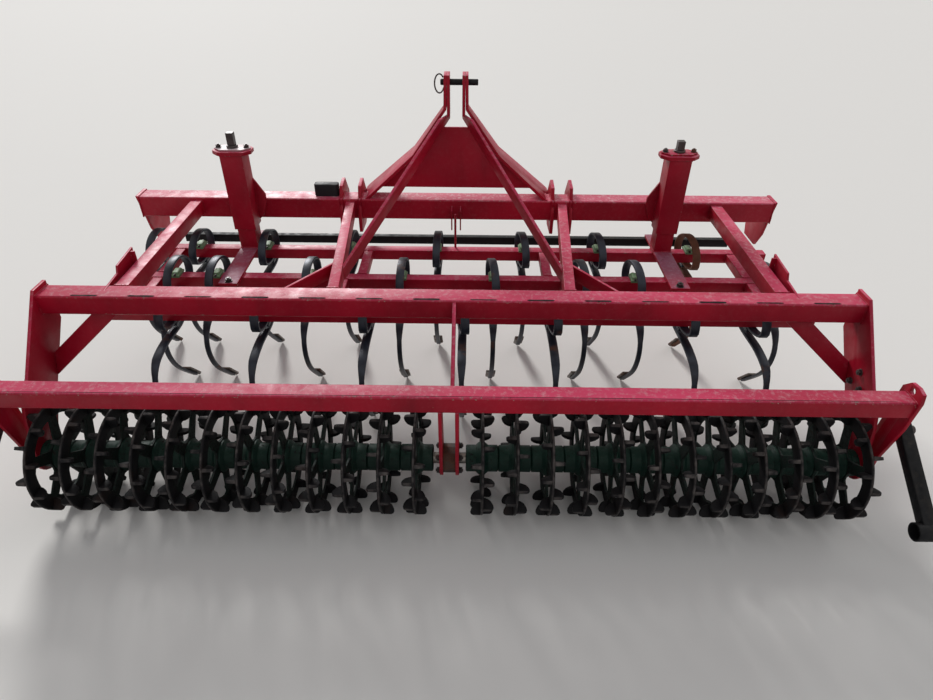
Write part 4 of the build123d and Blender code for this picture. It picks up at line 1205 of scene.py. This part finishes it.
class CULTIVATOR_OT_bolts(bpy.types.Operator):
    """Set hexagon bolts with washers on the frame, the arms and the clamps"""
    bl_idname = "cultivator.bolts"
    bl_label = "Bolts"

    hanger_circle = 0.044
    arm_bolt_y = 0.712
    cap_apart = 0.060
    clamp_apart = 0.0285
    clamp_step = 0.009
    leg_bolts = ((0.118, 0.440), (0.182, 0.432), (0.152, 0.492))

    def execute(self, context):
        tree = copies_tree()
        master = linked("bolt_master", self.head(context.scene.cultivator_sizes.bolt_across))
        for name, body, places, size in (("frame_bolts", "frame", self.frame_places(), 1.0),
                                         ("arm_bolts", "tine_frame", self.arm_places(), 1.25),
                                         ("clamp_bolts", "tine_frame", self.clamp_places(), 0.55)):
            piece = grown(name, points_mesh(places), tree, Piece=master, Size=size,
                          Material=MATERIALS["dark_steel"])
            smooth(piece.data)
            fitted(piece, body, "worn_steel")
        bpy.data.objects.remove(master)
        return {"FINISHED"}

    def head(self, across):
        """A washer, a chamfered hexagon and the thread's end, in shares of the width across flats."""
        corner = 1 / math.sqrt(3)
        shape = bmesh.new()
        for sides, profile in (
                (20, [(0, 0.68), (0.1, 0.68), (0.13, 0.64)]),
                (6, [(0.13, corner * 0.93), (0.18, corner), (0.56, corner), (0.62, corner * 0.9)]),
                (12, [(0.62, 0.29), (0.76, 0.29), (0.80, 0.25)])):
            lathed(shape, capped([(across * height, across * radius) for height, radius in profile]), sides)
        return finished(shape, "bolt")

    def frame_places(self):
        places = []
        for side in (-1, 1):
            for apart in (-self.cap_apart, self.cap_apart):
                places.append((Vector((side * POST_X + apart, POST_Y, FLANGE_TOP + CAP_PLATE)), UPWARD))
            if side > 0:
                inward = (0, -math.pi / 2, 0)
                places += [(ahead_of_axle(FRAME_END, y, z), inward) for y, z in self.leg_bolts]
            outward = (0, side * math.pi / 2, 0)
            for degrees in (45, 135, 225, 315):
                y, z = polar(self.hanger_circle, math.radians(degrees))
                places.append((ahead_of_axle(side * HANGER_FACE, y, AXLE_Z + z), outward))
        return places

    def arm_places(self):
        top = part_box("post_arms")[1].z
        return [(ahead_of_axle(side * POST_X, self.arm_bolt_y, top), UPWARD) for side in (-1, 1)]

    def clamp_places(self):
        return on_tine_bars(self.clamp_step, -self.clamp_apart, self.clamp_apart)


def around(axis, at, first, second):
    """A closed rectangle on a plane across one axis, from the spans on the two other axes."""
    corners = [(first[0], second[0]), (first[1], second[0]), (first[1], second[1]), (first[0], second[1])]
    place = "xyz".index(axis)
    return [(*corner[:place], at, *corner[place:]) for corner in corners + corners[:1]]


class CULTIVATOR_OT_welds(bpy.types.Operator):
    """Lay weld beads where tubes and plates meet"""
    bl_idname = "cultivator.welds"
    bl_label = "Weld beads"

    side_rail_wide = 0.050
    centre_rail_wide = 0.040
    centre_rail_step = 0.098
    mast_leg_faces = (0.3947, 0.4133)
    mast_leg_inset = 0.0085
    outer_rail = 1.275
    inner_rails = (0.405, 0.478)
    rail_half = 0.020
    arm_half = 0.040

    def execute(self, context):
        radius = context.scene.cultivator_sizes.weld_radius
        tree = bead_tree()
        for name, body, paths in (("frame_welds", "frame", self.frame_paths()),
                                  ("tine_frame_welds", "tine_frame", self.tine_frame_paths())):
            both = paths + [[(-x, y, z) for x, y, z in path] for path in paths]
            piece = grown(name, paths_mesh(both), tree, Radius=radius, Material=MATERIALS["weld"])
            smooth(piece.data, 50)
            fitted(piece, body, "crimson_paint")
        return {"FINISHED"}

    def frame_paths(self):
        """Beads on the right half of the frame."""
        beam_low, beam_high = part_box("front_beam")
        back, front, floor = beam_low.y, beam_high.y, beam_low.z
        low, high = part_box("side_rails")
        across = (high.x - self.side_rail_wide, high.x)
        paths = [around("y", at, across, (low.z, high.z)) for at in (low.y, high.y)]
        low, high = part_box("centre_rails")
        wide = self.centre_rail_wide
        for at, x in ((low.y, high.x - self.centre_rail_step), (high.y, high.x - wide)):
            paths.append(around("y", at, (x, x + wide), (low.z, high.z)))
        left, right = POST_X - POST_TUBE / 2, POST_X + POST_TUBE / 2
        paths.append([(left, back, floor), (left, back, BEAM_TOP), (right, back, BEAM_TOP),
                      (right, back, floor)])
        flange_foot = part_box("post_flanges")[0].z
        paths.append(around("z", flange_foot, (left, right), (POST_Y - POST_TUBE / 2, back)))
        for name in ("front_beam", "rear_beam", "roller_beam"):
            low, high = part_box(name)
            paths.append(around("x", high.x, (low.y, high.y), (low.z, high.z)))
        for x in (EAR_FACE - inwards for inwards in EAR_FACES):
            paths.append([(x, back, floor), (x, back, BEAM_TOP), (x, front, BEAM_TOP), (x, front, floor)])
        for x in self.mast_leg_faces:
            paths.append([(x, back + self.mast_leg_inset, BEAM_TOP), (x, front, BEAM_TOP)])
        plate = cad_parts["mast_plate"].data.vertices
        corners = {(round(abs(v.co.x), 4), round(v.co.z, 4)) for v in plate}
        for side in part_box("mast_plate"):
            paths.append([(x, side.y, z) for x, z in sorted(corners, key=lambda corner: corner[1])])
        low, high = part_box("post_gussets")
        paths.append([(high.x, low.y, low.z + 0.006), (high.x, low.y, high.z - 0.006)])
        return paths

    def tine_frame_paths(self):
        """Beads on the right half of the tine frame."""
        low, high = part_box("tine_rails")
        half_bar = TINE_BAR_SIZE / 2
        front, centre, rear = (AXLE_Y + row[0] for row in TINE_ROWS.values())
        ahead_rail, behind_rail = self.inner_rails
        paths = []
        for x, ahead, behind in ((self.outer_rail, front, centre), (self.outer_rail, centre, rear),
                                 (ahead_rail, front, centre), (behind_rail, centre, rear)):
            for at in (ahead - half_bar, behind + half_bar):
                paths.append(around("y", at, (x - self.rail_half, x + self.rail_half), (low.z, high.z)))
        for x in (POST_X - self.arm_half, POST_X + self.arm_half):
            for bar_y in (front, centre):
                paths.append([(x, bar_y - half_bar, TINE_BAR_TOP), (x, bar_y + half_bar, TINE_BAR_TOP)])
        low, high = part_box("inner_posts")
        half = high.x - POST_X
        paths.append(around("z", low.z, (POST_X - half, POST_X + half), (POST_Y - half, POST_Y + half)))
        return paths


class CULTIVATOR_OT_stage(bpy.types.Operator):
    """Set the floor, the light and the camera"""
    bl_idname = "cultivator.stage"
    bl_label = "Stage"

    camera_place = (0.0620, -1.6649, 1.8709)
    camera_angles = (("Z", 0.17), ("X", 54.39), ("Z", 0.55))
    floor_half = 40

    def execute(self, context):
        stage = context.scene.cultivator_stage
        self.floor(stage)
        self.light(context, stage)
        self.camera(context, stage)
        context.scene.view_settings.view_transform = "Standard"
        return {"FINISHED"}

    def floor(self, stage):
        shape = bmesh.new()
        bmesh.ops.create_grid(shape, x_segments=1, y_segments=1, size=self.floor_half)
        mesh = plain(shape, "floor")
        material, tree, surface = shader("floor", 0.9)
        speckle = ramp(tree, noise(tree, 4, detail=6), 0.3, 0.7, 0.97, 1.0)
        feed(tree, surface, {"Base Color": mix(tree, speckle, srgb(214, 210, 204), tuple(stage.floor))})
        mesh.materials.append(material)
        linked("floor", mesh)

    def light(self, context, stage):
        world = bpy.data.worlds.new("studio")
        world.use_nodes = True
        tree = world.node_tree
        background = tree.nodes["Background"]
        feed(tree, background, {"Color": (0.93, 0.95, 1.0, 1), "Strength": stage.fill})
        seen = add(tree, "ShaderNodeBackground", {"Color": tuple(stage.floor), "Strength": 1.0})
        rays = add(tree, "ShaderNodeLightPath").outputs
        backdrop = rays["Is Camera Ray"]
        for kind in ("Is Glossy Ray", "Is Transmission Ray"):
            backdrop = add(tree, "ShaderNodeMath", {0: backdrop, 1: rays[kind]}, operation="MAXIMUM")
        shown = add(tree, "ShaderNodeMixShader", {0: backdrop, 1: background, 2: seen})
        feed(tree, tree.nodes["World Output"], {"Surface": shown})
        context.scene.world = world
        for name, place, spread, share in (("key", (-1.9, 4.6, 2.7), 14, 1),
                                           ("rim", (4.0, 2.5, 3.0), 50, 0.12),
                                           ("rear", (0.6, -4.0, 4.5), 70, 0.08)):
            lamp = bpy.data.lights.new(name, "SUN")
            lamp.energy = stage.key * share
            lamp.angle = math.radians(spread)
            holder = linked(name, lamp)
            holder.location = place
            holder.rotation_euler = (-Vector(place)).to_track_quat("-Z", "Y").to_euler()

    def camera(self, context, stage):
        lens = bpy.data.cameras.new("photo_view")
        lens.lens = stage.lens
        lens.sensor_width = 36.0
        lens.sensor_fit = "HORIZONTAL"
        lens.clip_end = 200
        eye = linked("photo_view", lens)
        place = Matrix.Translation(ahead_of_axle(*self.camera_place))
        for axis, degrees in self.camera_angles:
            place = place @ Matrix.Rotation(math.radians(degrees), 4, axis)
        eye.matrix_world = place
        context.scene.camera = eye


PIECES = (CULTIVATOR_OT_stage, CULTIVATOR_OT_frame, CULTIVATOR_OT_seams, CULTIVATOR_OT_pins,
          CULTIVATOR_OT_clips, CULTIVATOR_OT_cap_plates, CULTIVATOR_OT_document_box,
          CULTIVATOR_OT_tine_frame, CULTIVATOR_OT_tines, CULTIVATOR_OT_clamps, CULTIVATOR_OT_rollers,
          CULTIVATOR_OT_swing_arms, CULTIVATOR_OT_bolts, CULTIVATOR_OT_welds)


class CULTIVATOR_PT_panel(bpy.types.Panel):
    """Lists the pieces that can be made"""
    bl_idname = "CULTIVATOR_PT_panel"
    bl_label = "Seedbed cultivator"
    bl_space_type = "VIEW_3D"
    bl_region_type = "UI"
    bl_category = "Cultivator"

    def draw(self, context):
        for piece in PIECES:
            self.layout.operator(piece.bl_idname)


CLASSES = (CultivatorPaint, CultivatorSizes, CultivatorStage, *PIECES, CULTIVATOR_PT_panel)


def register():
    for item in CLASSES:
        bpy.utils.register_class(item)
    bpy.types.Scene.cultivator_paint = PointerProperty(type=CultivatorPaint)
    bpy.types.Scene.cultivator_sizes = PointerProperty(type=CultivatorSizes)
    bpy.types.Scene.cultivator_stage = PointerProperty(type=CultivatorStage)


def unregister():
    del bpy.types.Scene.cultivator_stage
    del bpy.types.Scene.cultivator_sizes
    del bpy.types.Scene.cultivator_paint
    for item in reversed(CLASSES):
        bpy.utils.unregister_class(item)


def main():
    register()
    make_materials()
    for piece in PIECES:
        group, name = piece.bl_idname.split(".")
        getattr(getattr(bpy.ops, group), name)()


if __name__ == "__main__":
    main()
